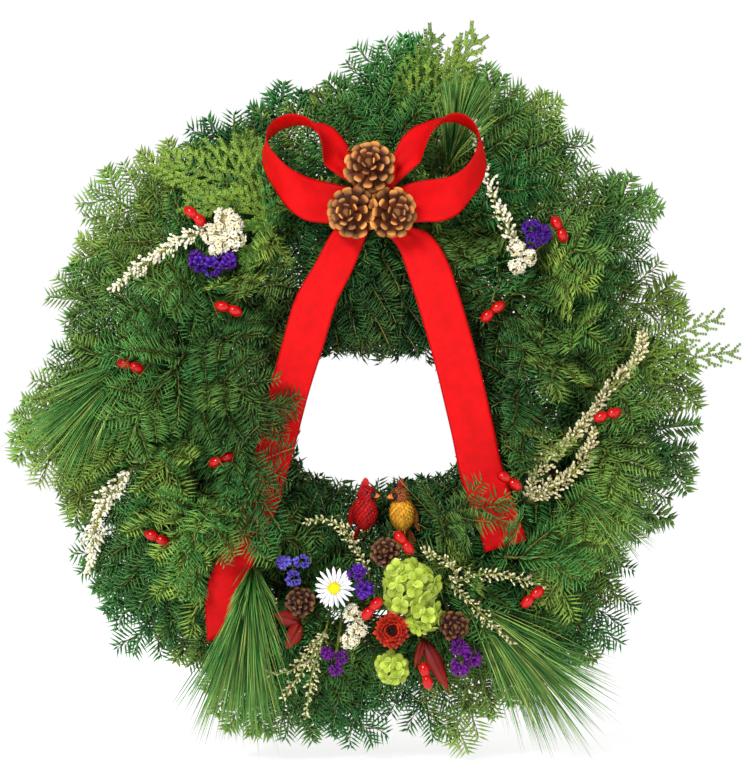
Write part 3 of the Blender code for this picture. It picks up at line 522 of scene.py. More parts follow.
RUST_CENTRE = grown("strawflower_centre", (18, 1, 4), (40, 5, 10), (74, 12, 14), (34, 4, 8), 0.6)
MAROON = grown("maroon_leaf", (84, 14, 14), (118, 22, 22), (140, 34, 26), (150, 40, 30), 0.4, ribs=0.5)
RED_FEATHER = grown("red_feathers", (90, 4, 8), (168, 8, 14), (190, 24, 22), (140, 8, 12), 0.6)
YELLOW_FEATHER = grown("yellow_feathers", (160, 96, 20), (208, 144, 34), (230, 172, 60), (190, 96, 24), 0.6)
BROWN_FEATHER = grown("brown_feathers", (84, 40, 20), (138, 74, 34), (170, 104, 52), (120, 56, 26), 0.6)
BEAK = grown("beak", (216, 90, 30), (236, 116, 40), (240, 140, 60), (220, 100, 30), 0.2)
BLACK = grown("mask_and_eye", (14, 12, 12), (22, 18, 18), (30, 26, 24), (20, 16, 16), 0.3)
WIRE = metal_wire()
RIBBON = satin()
BERRY = berry_skin()


# Paths, tubes and copies


def curve(controls, count):
    """Points evenly spread along a smooth curve through the control points."""
    fine = []
    ends = [controls[0] * 2 - controls[1], *controls, controls[-1] * 2 - controls[-2]]
    for a, b, c, d in zip(ends, ends[1:], ends[2:], ends[3:]):
        for k in range(12):
            t = k / 12
            squared = (2 * a - 5 * b + 4 * c - d) * t**2
            fine.append(0.5 * (2 * b + (c - a) * t + squared + (3 * b - 3 * c + d - a) * t**3))
    fine.append(controls[-1].copy())
    run = [0.0]
    for a, b in zip(fine, fine[1:]):
        run.append(run[-1] + (b - a).length)
    points = []
    k = 0
    for n in range(count):
        want = run[-1] * n / (count - 1)
        while k < len(run) - 2 and run[k + 1] < want:
            k += 1
        part = (want - run[k]) / max(run[k + 1] - run[k], 1e-9)
        points.append(fine[k].lerp(fine[k + 1], part))
    return points


def way_length(points):
    """The length of the way through the points."""
    return sum((b - a).length for a, b in zip(points, points[1:]))


def place_on(points, share):
    """The point at this share of the way, and the direction of the way there."""
    where = share * (len(points) - 1)
    low = min(int(where), len(points) - 2)
    at = points[low].lerp(points[low + 1], where - low)
    return at, (points[low + 1] - points[low]).normalized()


def nudge(by):
    """A small random offset."""
    return Vector([random.uniform(-by, by) for _ in range(3)])


class Growth:
    """One piece, gathered from copies and tubes."""

    def __init__(self, name):
        self.name = name
        self.points = []
        self.faces = []
        self.tones = []
        self.slots = []
        self.materials = []
        self.count = 0
        self.waiting = {}

    def slot_of(self, material):
        """The number of a material in this piece."""
        if material not in self.materials:
            self.materials.append(material)
        return self.materials.index(material)

    def add(self, points, faces, tones, material):
        """Takes in points and triangles, with the tone, share and age of each point."""
        self.points.append(points)
        self.faces.append(faces + self.count)
        self.tones.append(tones)
        self.slots.append(np.full(len(faces), self.slot_of(material)))
        self.count += len(points)

    def put(self, shape, material, at, along, up, size, tone, age=0.0, bend=(0.0, 0.0, 0.0)):
        """Asks for a copy: where its root is, where it points and faces, and its size."""
        key = (id(shape), id(material))
        if key not in self.waiting:
            self.waiting[key] = (shape, material, [])
        self.waiting[key][2].append((*at, *along, *up, *size, *bend, tone, age))

    def tube(self, points, radii, sides, material, tone=0.5, age=0.0):
        """A closed tapering stem along the points."""
        rings = []
        side = None
        for k, point in enumerate(points):
            along = points[min(k + 1, len(points) - 1)] - points[max(k - 1, 0)]
            along = along.normalized()
            if side is None:
                side = along.orthogonal()
            side = (side - along * side.dot(along)).normalized()
            upright = side.cross(along)
            for n in range(sides):
                turn = 2 * math.pi * n / sides
                out = side * math.cos(turn) + upright * math.sin(turn)
                rings.append(point + out * radii[k])
        faces = []
        last = (len(points) - 1) * sides
        for k in range(len(points) - 1):
            for n in range(sides):
                m = (n + 1) % sides
                a, b = k * sides + n, k * sides + m
                faces.append((a, a + sides, b + sides))
                faces.append((a, b + sides, b))
        for n in range(1, sides - 1):
            faces.append((0, n, n + 1))
            faces.append((last, last + n + 1, last + n))
        tones = np.empty((len(rings), 4))
        tones[:, 0] = tone
        tones[:, 1] = np.repeat(np.linspace(0, 1, len(points)), sides)
        tones[:, 2] = age
        tones[:, 3] = 1
        self.add(np.array([p[:] for p in rings]), np.array(faces), tones, material)

    def copy_all(self):
        """Makes the copies asked for, all those of one shape and material together."""
        for shape, material, rows in self.waiting.values():
            rows = np.array(rows)
            points, faces = shape
            at, along, up, size, bend = (rows[:, n : n + 3] for n in range(0, 15, 3))
            along = along / np.linalg.norm(along, axis=1)[:, None]
            side = np.cross(up, along)
            side = side / np.linalg.norm(side, axis=1)[:, None]
            up = np.cross(along, side)
            made = at[:, None]
            for n, axis in enumerate((side, up, along)):
                made = made + axis[:, None] * points[None, :, n, None] * size[:, n, None, None]
            share = points[:, 2]
            made = made + bend[:, None] * (share**2)[None, :, None]
            tones = np.ones((len(rows), len(points), 4))
            tones[:, :, 0] = rows[:, 15, None]
            tones[:, :, 1] = share[None]
            tones[:, :, 2] = rows[:, 16, None]
            steps = np.arange(len(rows))[:, None, None] * len(points)
            spread = (faces[None] + steps).reshape(-1, 3)
            self.add(made.reshape(-1, 3), spread, tones.reshape(-1, 4), material)
        self.waiting = {}

    def finish(self, nodes, slot):
        """The piece as an object in the frame, in the place of its source nodes."""
        self.copy_all()
        points = np.concatenate(self.points)
        points[:, 2] -= CENTRE_DROP
        mesh = bpy.data.meshes.new(self.name)
        mesh.from_pydata(points * MM, [], np.concatenate(self.faces))
        mesh.polygons.foreach_set("material_index", np.concatenate(self.slots).astype(np.int32))
        mesh.polygons.foreach_set("use_smooth", np.full(len(mesh.polygons), True))
        for material in self.materials:
            mesh.materials.append(material)
        tone = mesh.attributes.new("tone", "FLOAT_COLOR", "POINT")
        tone.data.foreach_set("color", np.concatenate(self.tones).astype(np.float32).ravel())
        made = bpy.data.objects.new(self.name, mesh)
        bpy.context.scene.collection.objects.link(made)
        in_frame(made, nodes, slot)


def in_frame(made, nodes, slot):
    """Fixes a piece to the wreath in the place of its source nodes."""
    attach(made, "root")
    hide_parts(*nodes)


# What the foliage goes round: the ribbon, cones, flowers and birds, and the clear hole

FOLIAGE = ("wire_ring", "binding_wire", "fir_bunch", "pine", "cedar")


def shape_of(left_out):
    """The surfaces of the source nodes, but for those whose names start in one of these ways."""
    points = []
    faces = []
    for name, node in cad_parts.items():
        if name.startswith(left_out):
            continue
        start = len(points)
        for vert in node.data.vertices:
            points.append(vert.co / MM + UP * CENTRE_DROP)
        faces.extend([start + n for n in face.vertices] for face in node.data.polygons)
    return BVHTree.FromPolygons(points, faces)


THINGS = shape_of(FOLIAGE)
NOT_RIBBON = shape_of((*FOLIAGE, "bow", "ribbon"))


def hole_reach(x, z):
    """How far the hole reaches from its middle towards a place, and how far away that is."""
    x -= HOLE_MIDDLE[0]
    z -= HOLE_MIDDLE[1]
    angle = math.degrees(math.atan2(x, z)) % 360
    for (low, a), (high, b) in zip(HOLE_REACH, HOLE_REACH[1:]):
        if low <= angle <= high:
            return a + (b - a) * (angle - low) / (high - low), math.hypot(x, z)


def in_opening(point, ragged=9.0):
    """Whether a point is in the clear hole, whose edge is ragged."""
    clear, away = hole_reach(point.x, point.z)
    return away < clear - random.uniform(0, ragged)


def in_box(point):
    """Whether a point is inside the source's own box."""
    return all(low < c < high for low, c, high in zip(LOW, point, HIGH))


def blocked(point, margin):
    """Whether foliage can't be here, for the hole, the box or a thing close by."""
    return in_opening(point) or not in_box(point) or THINGS.find_nearest(point)[3] < margin


def hides(point, over_ribbon=False):
    """Whether foliage here would stand in front of a flower, a bird or the ribbon."""
    crossed = CROSSED_LOW < point.z < CROSSED_HIGH and point.x < CROSSED_SIDE
    things = NOT_RIBBON if over_ribbon or crossed else THINGS
    found = things.ray_cast(point, (point - CAMERA).normalized(), SIGHT)[0]
    return found is not None and found.y < PICKS_FROM


# Ring, bound stems and binding wire


def on_ring(angle, radius, y):
    """A point at a clock angle from the top, clockwise as seen from the front."""
    return Vector((math.sin(angle) * radius, y, math.cos(angle) * radius))


def bundle_radius(share):
    """The radius of the bound stems at this share of a bunch, thinner at its ends."""
    return GROOVE_RADIUS + (BUNDLE_RADIUS - GROOVE_RADIUS) * min(1.0, 3 * min(share, 1 - share))


def bundle_y(radius):
    """The depth of the middle of the bound stems, which lie on the front of the ring."""
    return -(WIRE_RADIUS * FLAT + GAP + radius * FLAT)


# Angles of one turn of the binding wire round ring and stems, and its way from the bow
WIRE_TURN = (90, 52, 17, -18, -54, -90, -126, -162, -197, -232, -270)
TIE_WIRE = ((0.0, -84.2, 184.0), (0.5, -66.0, 182.0), (0.2, -46.0, 179.5))


def binding_path():
    """Starts at the bow, runs along the back of the ring and turns once round each groove."""
    clear = GAP + BINDING_RADIUS * 1.1
    ring_way = WIRE_RADIUS + clear * 1.2
    stem_way = GROOVE_RADIUS * 1.06 + clear
    stem_y = bundle_y(GROOVE_RADIUS)
    pitch = 3.2 / RING_RADIUS
    points = [Vector(at) for at in TIE_WIRE]
    for k in range(BUNCHES):
        angle = 2 * math.pi * k / BUNCHES - pitch / 2
        for n, turn in enumerate(WIRE_TURN):
            if k == 0 and turn > -90:
                continue
            c = math.cos(math.radians(turn))
            s = math.sin(math.radians(turn))
            way, y = (ring_way, 0.0) if s > 0.8 else (stem_way, stem_y)
            share = n / (len(WIRE_TURN) - 1)
            points.append(on_ring(angle + pitch * share, RING_RADIUS + way * c, y + way * s))
        if k < BUNCHES - 1:
            for share in (0.33, 0.67):
                ahead = angle + 2 * math.pi / BUNCHES * share + pitch * (1 - share)
                points.append(on_ring(ahead, RING_RADIUS, ring_way))
    return points


def wire_back(start):
    """A simple way from the back of a flower or spray to the bound stems."""
    angle = math.atan2(start.x, start.z)
    share = angle / (2 * math.pi / BUNCHES) % 1.0
    radius = bundle_radius(share)
    end = on_ring(angle, RING_RADIUS, bundle_y(radius) - radius * FLAT)
    bend = start.lerp(end, 0.5)
    bend.y = end.y * 0.6 + start.y * 0.4 - 6
    return curve([start, bend, end], 9)


def make_ring():
    """The ring wire, closed by a bead of weld, and the wire that binds the stems to it."""
    bpy.ops.object.select_all(action="DESELECT")
    bpy.ops.mesh.primitive_torus_add(
        major_segments=120,
        minor_segments=12,
        major_radius=RING_RADIUS * MM,
        minor_radius=WIRE_RADIUS * MM,
        rotation=(math.pi / 2, 0, 0),
        location=(0, 0, -CENTRE_DROP * MM),
    )
    ring = settled()
    edit_points()
    for edge in (-WELD, WELD):
        bpy.ops.mesh.select_all(action="SELECT")
        bpy.ops.mesh.bisect(plane_co=(edge * MM, 0, 0), plane_no=(1, 0, 0))
    choose(lambda co: abs(co.x) < WELD * MM / 2 and co.z < -RING_RADIUS * MM)
    bpy.ops.transform.resize(value=(1, 1.35, 1.35))
    bpy.ops.object.mode_set(mode="OBJECT")
    ring.name = "ring_wire"
    bpy.ops.object.shade_smooth()
    ring.data.materials.append(WIRE)
    in_frame(ring, ["wire_ring"], "wire")
    binding = Growth("wound_wire")
    path = curve(binding_path(), 420)
    binding.tube(path, [BINDING_RADIUS] * len(path), 6, WIRE)
    binding.finish(["binding_wire"], "wire")


# Ribbon

LEFT_LOOP_FRONT = (
    (-15.5, -90, 189), (-46, -96, 194), (-62, -103, 198), (-75, -111, 206), (-84, -117, 216),
    (-91, -121, 226), (-93, -123, 237), (-88, -124, 247), (-78, -123, 253), (-67, -121, 253),
    (-55, -118, 247), (-47, -113, 234), (-44, -106, 220), (-40, -100, 206), (-15.5, -95, 192),
)
LEFT_LOOP_BACK = (
    (-15.5, -90, 158), (-43, -94, 161), (-60, -97, 164), (-76, -94, 175), (-88, -90, 190),
    (-97, -87, 206), (-99, -85, 222), (-93, -85, 232), (-83, -85, 241), (-68, -85, 246),
    (-52, -85, 247), (-38, -85, 243), (-26, -86, 234), (-20, -87, 222), (-15.5, -88, 210),
)
RIGHT_LOOP_FRONT = (
    (15.5, -90, 189), (37, -96, 194), (53, -103, 194), (66, -110, 197), (76, -116, 203),
    (83, -120, 212), (88, -123, 223), (90, -124, 233), (88, -124, 244), (80, -123, 252),
    (70, -121, 254), (60, -117, 249), (51, -111, 238), (43, -105, 223), (37, -100, 211),
    (15.5, -95, 192),
)
RIGHT_LOOP_BACK = (
    (15.5, -90, 158), (45, -94, 162), (61, -96, 164), (74, -93, 169), (84, -90, 179),
    (93, -87, 189), (99, -85, 202), (99, -84, 216), (94, -84, 231), (85, -84, 242),
    (73, -84, 248), (59, -85, 251), (44, -86, 245), (29, -87, 237), (21, -88, 226),
    (15.5, -88, 210),
)
LEFT_TAIL_OUTER = (
    (-34, -86, 155.5), (-43, -87, 144), (-54, -90, 121), (-69, -90, 91), (-79, -88, 52),
    (-89, -84, 14), (-99, -80, -24), (-106, -76, -58), (-116, -75, -94), (-132, -78, -126),
    (-146, -80, -157), (-146, -80, -186), (-141, -80, -207),
)
LEFT_TAIL_INNER = (
    (-4, -90, 154.2), (-8, -88, 140), (-17, -90, 120), (-33, -90, 91), (-47, -88, 50),
    (-60, -84, 12), (-70, -80, -27), (-80, -76, -60), (-90, -75, -97), (-104, -78, -132),
    (-114, -80, -164), (-116, -80, -187), (-120, -80, -196),
)
RIGHT_TAIL_INNER = (
    (4, -90, 153.8), (21, -88, 138), (29, -90, 121), (39, -90, 91), (47, -89, 61),
    (55, -87, 31), (62, -84, 3), (69, -81, -25), (76, -78, -51), (84, -76, -81),
    (95, -76, -111), (101, -77, -130),
)
RIGHT_TAIL_OUTER = (
    (36, -86, 156.5), (50, -87, 150), (63, -90, 127), (75, -90, 92), (84, -89, 65),
    (92, -87, 37), (99, -84, 7), (105, -81, -21), (109, -78, -49), (118, -76, -76),
    (127, -76, -102), (132, -77, -121),
)
KNOT_SIZE = (40.0, 12.0, 58.0)
KNOT_MIDDLE = (0.0, -91.4, 184.2)
KNOT_FRONT = KNOT_MIDDLE[1] - KNOT_SIZE[1] / 2


def ribbon_rows(bm, first, second, count, gather, ripple):
    """Rows of points across the ribbon, where each is on the flat cloth, and the length.

    At its two ends it is gathered to a share of its width, and its creases have a depth.
    """
    one = curve([Vector(at) for at in first], count)
    two = curve([Vector(at) for at in second], count)
    middle = [(a + b) / 2 for a, b in zip(one, two)]
    rows = []
    marks = {}
    run = 0.0
    for k in range(count):
        across = (two[k] - one[k]).normalized()
        share = k / (count - 1)
        width = RIBBON_WIDTH
        width *= 1 - (1 - gather[0]) * max(0.0, 1 - share * 6)
        width *= 1 - (1 - gather[1]) * max(0.0, 1 - (1 - share) * 6)
        along = middle[min(k + 1, count - 1)] - middle[max(k - 1, 0)]
        off = along.cross(across).normalized()
        if k:
            run += (middle[k] - middle[k - 1]).length
        crease = ripple[0] * max(0.0, 1 - share * 5) ** 2
        crease += ripple[1] * max(0.0, 1 - (1 - share) * 5) ** 2
        row = []
        for n in range(RIBBON_CELLS + 1):
            over = n / RIBBON_CELLS
            wave = math.sin(over * math.pi * 5 + 0.8) * crease
            wave += math.sin(over * math.pi) * 0.5 * math.sin(share * 9)
            vert = bm.verts.new(middle[k] + across * width * (over - 0.5) + off * wave)
            marks[vert] = (over * RIBBON_WIDTH, run)
            row.append(vert)
        rows.append(row)
    return rows, marks, run


def make_ribbon(name, first, second, count, gather, held, nodes, ripple):
    """A length of ribbon between its two edges, gathered and creased at its ends."""
    bm = bmesh.new()
    place = bm.loops.layers.uv.new("ribbon")
    rows, marks, run = ribbon_rows(bm, first, second, count, gather, ripple)
    area = 0.0
    for low, high in zip(rows, rows[1:]):
        for n in range(RIBBON_CELLS):
            face = bm.faces.new((low[n], low[n + 1], high[n + 1], high[n]))
            face.smooth = True
            area += face.calc_area()
            for loop in face.loops:
                loop[place].uv = marks[loop.vert]
    for vert in bm.verts:
        vert.co = (vert.co - UP * CENTRE_DROP) * MM
    mesh = bpy.data.meshes.new(name)
    bm.to_mesh(mesh)
    bm.free()
    mesh.materials.append(RIBBON)
    made = bpy.data.objects.new(name, mesh)
    bpy.context.scene.collection.objects.link(made)
    wall = made.modifiers.new("cloth", "SOLIDIFY")
    wall.thickness = RIBBON_THICK * MM
    wall.offset = 0
    bpy.ops.object.select_all(action="DESELECT")
    made.select_set(True)
    bpy.context.view_layer.objects.active = made
    apply_modifiers()
    in_frame(made, nodes, "ribbon")
    flat = (RIBBON_WIDTH * MM, run * MM)
    area = min(area * MM * MM, flat[0] * flat[1])


def make_knot():
    """The ribbon wound round the middle of the bow, pleated by the wire under it."""
    bpy.ops.object.select_all(action="DESELECT")
    bpy.ops.mesh.primitive_cube_add(size=1)
    edit_points()
    bpy.ops.mesh.subdivide(number_cuts=7)
    knot = settled()
    for vert in knot.data.vertices:
        x, y, z = vert.co
        pleat = 0.5 * math.cos(x * 26) if abs(y) > 0.4 else 0.0
        pinch = 1 - 0.10 * math.cos(z * math.pi)
        x = x * KNOT_SIZE[0] * pinch + KNOT_MIDDLE[0]
        y = y * (KNOT_SIZE[1] - 1.2) + pleat * 0.6 + KNOT_MIDDLE[1]
        z = z * KNOT_SIZE[2] + KNOT_MIDDLE[2] - CENTRE_DROP
        vert.co = (x * MM, y * MM, z * MM)
    knot.name = "bow_knot"
    bevel = knot.modifiers.new("edge", "BEVEL")
    bevel.width = 0.0018
    bevel.segments = 3
    bevel.angle_limit = math.radians(50)
    apply_modifiers()
    bpy.ops.object.shade_smooth_by_angle(angle=math.radians(45))
    layer = knot.data.uv_layers[0]
    layer.name = "ribbon"
    for loop in knot.data.loops:
        at = knot.data.vertices[loop.vertex_index].co
        layer.data[loop.index].uv = (at.z / MM % RIBBON_WIDTH, at.x / MM)
    knot.data.materials.append(RIBBON)
    in_frame(knot, ["bow"], "ribbon")


def make_bow():
    """Two loops, the knot over their ends, and two tails."""
    loop = {"gather": (0.84, 0.6), "ripple": (1.4, 1.6), "held": "gathered", "nodes": ["bow"]}
    make_ribbon("ribbon_loop_left", LEFT_LOOP_FRONT, LEFT_LOOP_BACK, 72, **loop)
    make_ribbon("ribbon_loop_right", RIGHT_LOOP_FRONT, RIGHT_LOOP_BACK, 72, **loop)
    make_knot()
    tail = {"gather": (0.8, 1.0), "ripple": (1.2, 0.0), "held": "hung"}
    nodes = ["ribbon_tail_left"]
    make_ribbon("ribbon_end_left", LEFT_TAIL_OUTER, LEFT_TAIL_INNER, 90, nodes=nodes, **tail)
    nodes = ["ribbon_tail_right"]
    make_ribbon("ribbon_end_right", RIGHT_TAIL_INNER, RIGHT_TAIL_OUTER, 80, nodes=nodes, **tail)


# Cones

# Radius, length and number of scales
OPEN_CONE = (22.3, 37.5, 36)
SMALL_CONE = (13.2, 20.0, 28)
# The radius of a cone at each share of its length, as a share of its greatest
CONE_PROFILE = ((0.0, 0.86), (0.12, 1.0), (0.35, 0.99), (0.55, 0.84), (0.75, 0.6), (1.0, 0.2))


def profile(share):
    """The radius of a cone at this share of its length."""
    for (low, a), (high, b) in zip(CONE_PROFILE, CONE_PROFILE[1:]):
        if share <= high:
            return a + (b - a) * (share - low) / (high - low)
    return CONE_PROFILE[-1][1]


def grow_cone(piece, base, axis, radius, length, count, wood):
    """A core with woody scales in a spiral, open at the base and closed at the tip."""
    axis = axis.normalized()
    aside = axis.orthogonal().normalized()
    core = [base + axis * length * s for s in (0.0, 0.3, 0.6, 0.86)]
    piece.tube(core, [radius * s for s in (0.42, 0.46, 0.32, 0.12)], 8, DARK_CONE, 0.1)
    for k in range(count):
        share = (k + 0.5) / count
        out = Matrix.Rotation(k * GOLDEN, 3, axis) @ aside
        root = base + axis * length * (0.02 + 0.78 * share) + out * radius * 0.18 * (1 - share)
        lift = length * (0.06 + 0.9 * share)
        tip = base + axis * lift + out * radius * profile(share) * random.uniform(0.93, 1.0)
        way = tip - root
        wide = radius * (0.58 - 0.30 * share)
        size = (wide, wide * 0.22, way.length)
        tone = random.random()
        age = random.random() * 0.5
        piece.put(SCALE, wood, root, way, axis - out * 0.2, size, tone, age)


def make_cones():
    """Three open cones on the knot of the bow, and three small dark ones among the flowers."""
    open_cones = (
        ("bow_cone_top", (-3.5, 205.5), (-0.03, -1, 0.16)),
        ("bow_cone_left", (-15.5, 168.0), (-0.28, -1, -0.05)),
        ("bow_cone_right", (12.5, 168.0), (0.28, -1, -0.05)),
    )
    for name, (x, z), axis in open_cones:
        piece = Growth(name.replace("bow_cone", "open_cone"))
        base = Vector((x, KNOT_FRONT - 1, z))
        grow_cone(piece, base, Vector(axis), *OPEN_CONE, CONE)
        piece.finish([name], "cone")
    small = (
        ("small_cone_top", (10.6, -86, -131.0), (-0.1, -1, 0.2)),
        ("small_cone_right", (70.0, -88, -194.0), (0.1, -1, 0.0)),
        ("small_cone_left", (-64.0, -86, -174.0), (-0.1, -1, 0.1)),
    )
    for name, at, axis in small:
        piece = Growth(name.replace("small_cone", "little_cone"))
        base = Vector(at)
        grow_cone(piece, base, Vector(axis), *SMALL_CONE, DARK_CONE)
        piece.tube(wire_back(base), [1.1] * 9, 6, BARK)
        piece.finish([name], "cone")


# Flower heads


def ring_of(piece, shape, material, centre, face, count, size, lift, turn, inner, age=0.0):
    """Petals round a centre, length and width given, lifted from its plane by an angle."""
    length, wide = size
    face = face.normalized()
    aside = face.orthogonal().normalized()
    for k in range(count):
        out = Matrix.Rotation(turn + 2 * math.pi * k / count, 3, face) @ aside
        rise = lift + random.uniform(-0.1, 0.1)
        along = out * math.cos(rise) + face * math.sin(rise)
        up = face * math.cos(rise) - out * math.sin(rise)
        grown_to = (wide, wide, length * random.uniform(0.9, 1.05))
        piece.put(shape, material, centre + out * inner, along, up, grown_to, random.random(), age)


def dome(count, forward_share):
    """Outward directions spread evenly over the front of a ball."""
    found = []
    for k in range(count):
        depth = 1 - forward_share * (k + 0.5) / count
        flat = math.sqrt(max(0.0, 1 - depth * depth))
        found.append(Vector((flat * math.cos(k * GOLDEN), -depth, flat * math.sin(k * GOLDEN))))
    return found


def ball(piece, material, centre, size, along=UP, tone=0.5, age=0.0):
    """A ball or oval, its size given across, through and along."""
    up = along.orthogonal().normalized()
    piece.put(BALL, material, centre, along, up, size, tone, age)


def hydrangea(piece, centre, radius, florets, petal):
    """A dome of florets with four round petals each."""
    ball(piece, CREAM, centre, [radius * 1.2] * 3)
    for out in dome(florets, 1.35):
        at = centre + out * (radius - 1.5) * random.uniform(0.8, 1.06)
        face = (out + FORWARD * 0.25 + nudge(0.35)).normalized()
        piece.tube([centre, at], [0.7, 0.7], 4, LIME)
        turn = random.uniform(0, math.pi)
        rise = random.uniform(0.0, 0.3)
        age = random.random() * 0.5
        petals = (petal, petal * 1.05)
        ring_of(piece, ROUND_PETAL, LIME, at, face, 4, petals, rise, turn, 0.2, age)
        piece.put(BUD, LIME, at, face, UP, (1.6, 1.6, 1.4), 0.3)


def stalked(piece, spots, neck):
    """Stems from the neck to each head; gives each head's middle and the way it faces."""
    for spot in spots:
        at = Vector(spot)
        out = ((at - neck).normalized() + FORWARD * 1.2).normalized()
        piece.tube([neck, at.lerp(neck, 0.5), at], [1.0, 0.9, 0.8], 5, BARK, 0.5, 1.0)
        yield at, out


def statice(piece, spots, neck, size, material):
    """Loose heads of small florets."""
    for at, out in stalked(piece, spots, neck):
        for way in dome(10, 1.1):
            turned = (FORWARD.rotation_difference(out) @ way + nudge(0.5)).normalized()
            place = at + turned * size * random.uniform(0.3, 0.62)
            petal = size * random.uniform(0.45, 0.72)
            lift = random.uniform(0.3, 0.9)
            turn = random.random()
            age = random.random()
            petals = (petal, petal * 0.85)
            ring_of(piece, BRACT, material, place, turned, 5, petals, lift, turn, 0.3, age)


def everlasting(piece, spots, neck, size):
    """Close round heads of small papery florets."""
    for at, out in stalked(piece, spots, neck):
        ball(piece, CREAM, at, (size * 0.9, size * 0.9, size * 0.7), out, 0.3, 0.6)
        for way in dome(26, 1.2):
            turned = (FORWARD.rotation_difference(out) @ way + nudge(0.35)).normalized()
            place = at + turned * size * random.uniform(0.5, 0.78)
            petal = size * random.uniform(0.26, 0.4)
            turn = random.random()
            age = random.random() * 0.7
            petals = (petal, petal * 0.8)
            ring_of(piece, BRACT, IVORY, place, turned, 5, petals, 0.6, turn, 0.2, age)


def joined(piece, back, thick):
    """The stem or wire that holds a piece to the bound stems."""
    way = wire_back(back)
    piece.tube(way, [thick] * len(way), 6, BARK, 0.5, 0.6)


def make_hydrangeas():
    """Two clusters that grow into one another, and a small one below."""
    large = Growth("hydrangea_head_large")
    hydrangea(large, Vector((31, -94, -160)), radius=24, florets=30, petal=9.0)
    hydrangea(large, Vector((43, -94, -184)), radius=17, florets=16, petal=8.0)
    joined(large, Vector((34, -82, -168)), 2.0)
    large.finish(["hydrangea_large"], "lime_petal")
    small = Growth("hydrangea_head_small")
    hydrangea(small, Vector((16.5, -92, -232)), radius=13.5, florets=14, petal=7.5)
    joined(small, Vector((16.5, -84, -230)), 1.6)
    small.finish(["hydrangea_small"], "lime_petal")


def make_daisy():
    """Two rings of white rays round a disc of yellow florets."""
    at = Vector((-34.5, -112, -160))
    look = Vector((-0.1, -1, 0.1))
    daisy = Growth("daisy_head")
    ring_of(daisy, PETAL, WHITE, at, look, 19, (17.2, 3.2), lift=0.03, turn=0.0, inner=1.5)
    front = at + look * 0.7
    ring_of(daisy, PETAL, WHITE, front, look, 17, (15.2, 2.7), lift=0.16, turn=0.2, inner=1.5)
    disc = at + look * 1.2
    ball(daisy, GOLD, disc, (10, 10, 5), look)
    for out in dome(60, 0.9):
        turned = FORWARD.rotation_difference(look) @ out
        spot = disc + Vector((turned.x * 4.8, turned.y * 2.6, turned.z * 4.8))
        daisy.put(BUD, GOLD, spot, turned, look.orthogonal(), (1.1, 1.1, 1.3), random.random())
    joined(daisy, at - look * 2, 1.0)
    daisy.finish(["daisy"], "white_petal")


def make_strawflower():
    """Rings of stiff bracts that close round a dark centre of fine threads."""
    at = Vector((15.5, -106, -197))
    look = Vector((0.0, -1, 0.05))
    straw = Growth("strawflower_head")
    # Bracts in a ring, their length, how far they rise, and how far forward the ring is
    rings = (
        (19, 16.0, 0.3, 0.0),
        (18, 14.8, 0.55, 0.6),
        (17, 13.0, 0.8, 1.2),
        (15, 10.8, 1.0, 1.6),
        (13, 8.4, 1.2, 1.8),
    )
    for count, long, rise, step in rings:
        shade = RUST if long > 9 else RUST_CENTRE
        turn = random.random()
        age = random.random()
        place = at + look * step
        ring_of(straw, PETAL, shade, place, look, count, (long, 5.6), rise, turn, 0.8, age)
    threads = 70
    for k in range(threads):
        far = math.sqrt((k + 0.5) / threads) * 7.2
        aside = Vector((math.cos(k * GOLDEN) * far, 0, math.sin(k * GOLDEN) * far))
        spot = at + look * 3.5 + aside
        straw.put(NEEDLE, RUST_CENTRE, spot, look, UP, (1.2, 1.2, 3.6), random.random())
    ball(straw, RUST_CENTRE, at + look * 3, (13, 13, 5), look)
    joined(straw, at - look * 3, 1.3)
    straw.finish(["strawflower"], "orange_petal")


def make_everlastings():
    """Three white heads on one neck beside the strawflower."""
    neck = Vector((-18, -88, -194))
    white = Growth("everlasting_heads")
    everlasting(white, ((-19, -104, -182), (-14, -104, -196), (-21, -102, -206)), neck, 9.5)
    joined(white, neck, 1.3)
    white.finish(["everlasting_white"], "white_petal")


# Each spray's size, colour and slot, the neck where its stems part, and its heads
STATICE = (
    ("statice_violet", 9.5, VIOLET, "purple_petal", (-11, -96, -154),
     ((-14, -114, -147), (-9, -114, -161))),
    ("statice_blue", 8.0, BLUE, "blue_petal", (-70, -84, -143),
     ((-79, -98, -139), (-63, -98, -138), (-70, -98, -152))),
    ("statice_purple_right", 9.5, PLUM, "purple_petal", (79, -82, -222),
     ((76, -96, -213), (87, -96, -222), (76, -96, -230))),
    ("statice_purple_left", 7.5, PLUM, "purple_petal", (-34, -80, -225),
     ((-41, -96, -218), (-29, -94, -222), (-34, -94, -233))),
    ("statice_upper_left", 10.5, VIOLET, "purple_petal", (-142, -62, 124),
     ((-154, -76, 126), (-142, -78, 121), (-129, -76, 127))),
    ("statice_upper_right", 8.5, VIOLET, "purple_petal", (144, -64, 151),
     ((139, -78, 156), (149, -78, 151), (141, -78, 145))),
)


def make_statice():
    """Violet, plum and blue statice between the other flowers."""
    for name, size, material, slot, neck, spots in STATICE:
        piece = Growth(name + "_florets")
        neck = Vector(neck)
        statice(piece, spots, neck, size, material)
        joined(piece, neck, 1.2)
        piece.finish([name], slot)


# Dried sprays of small buds


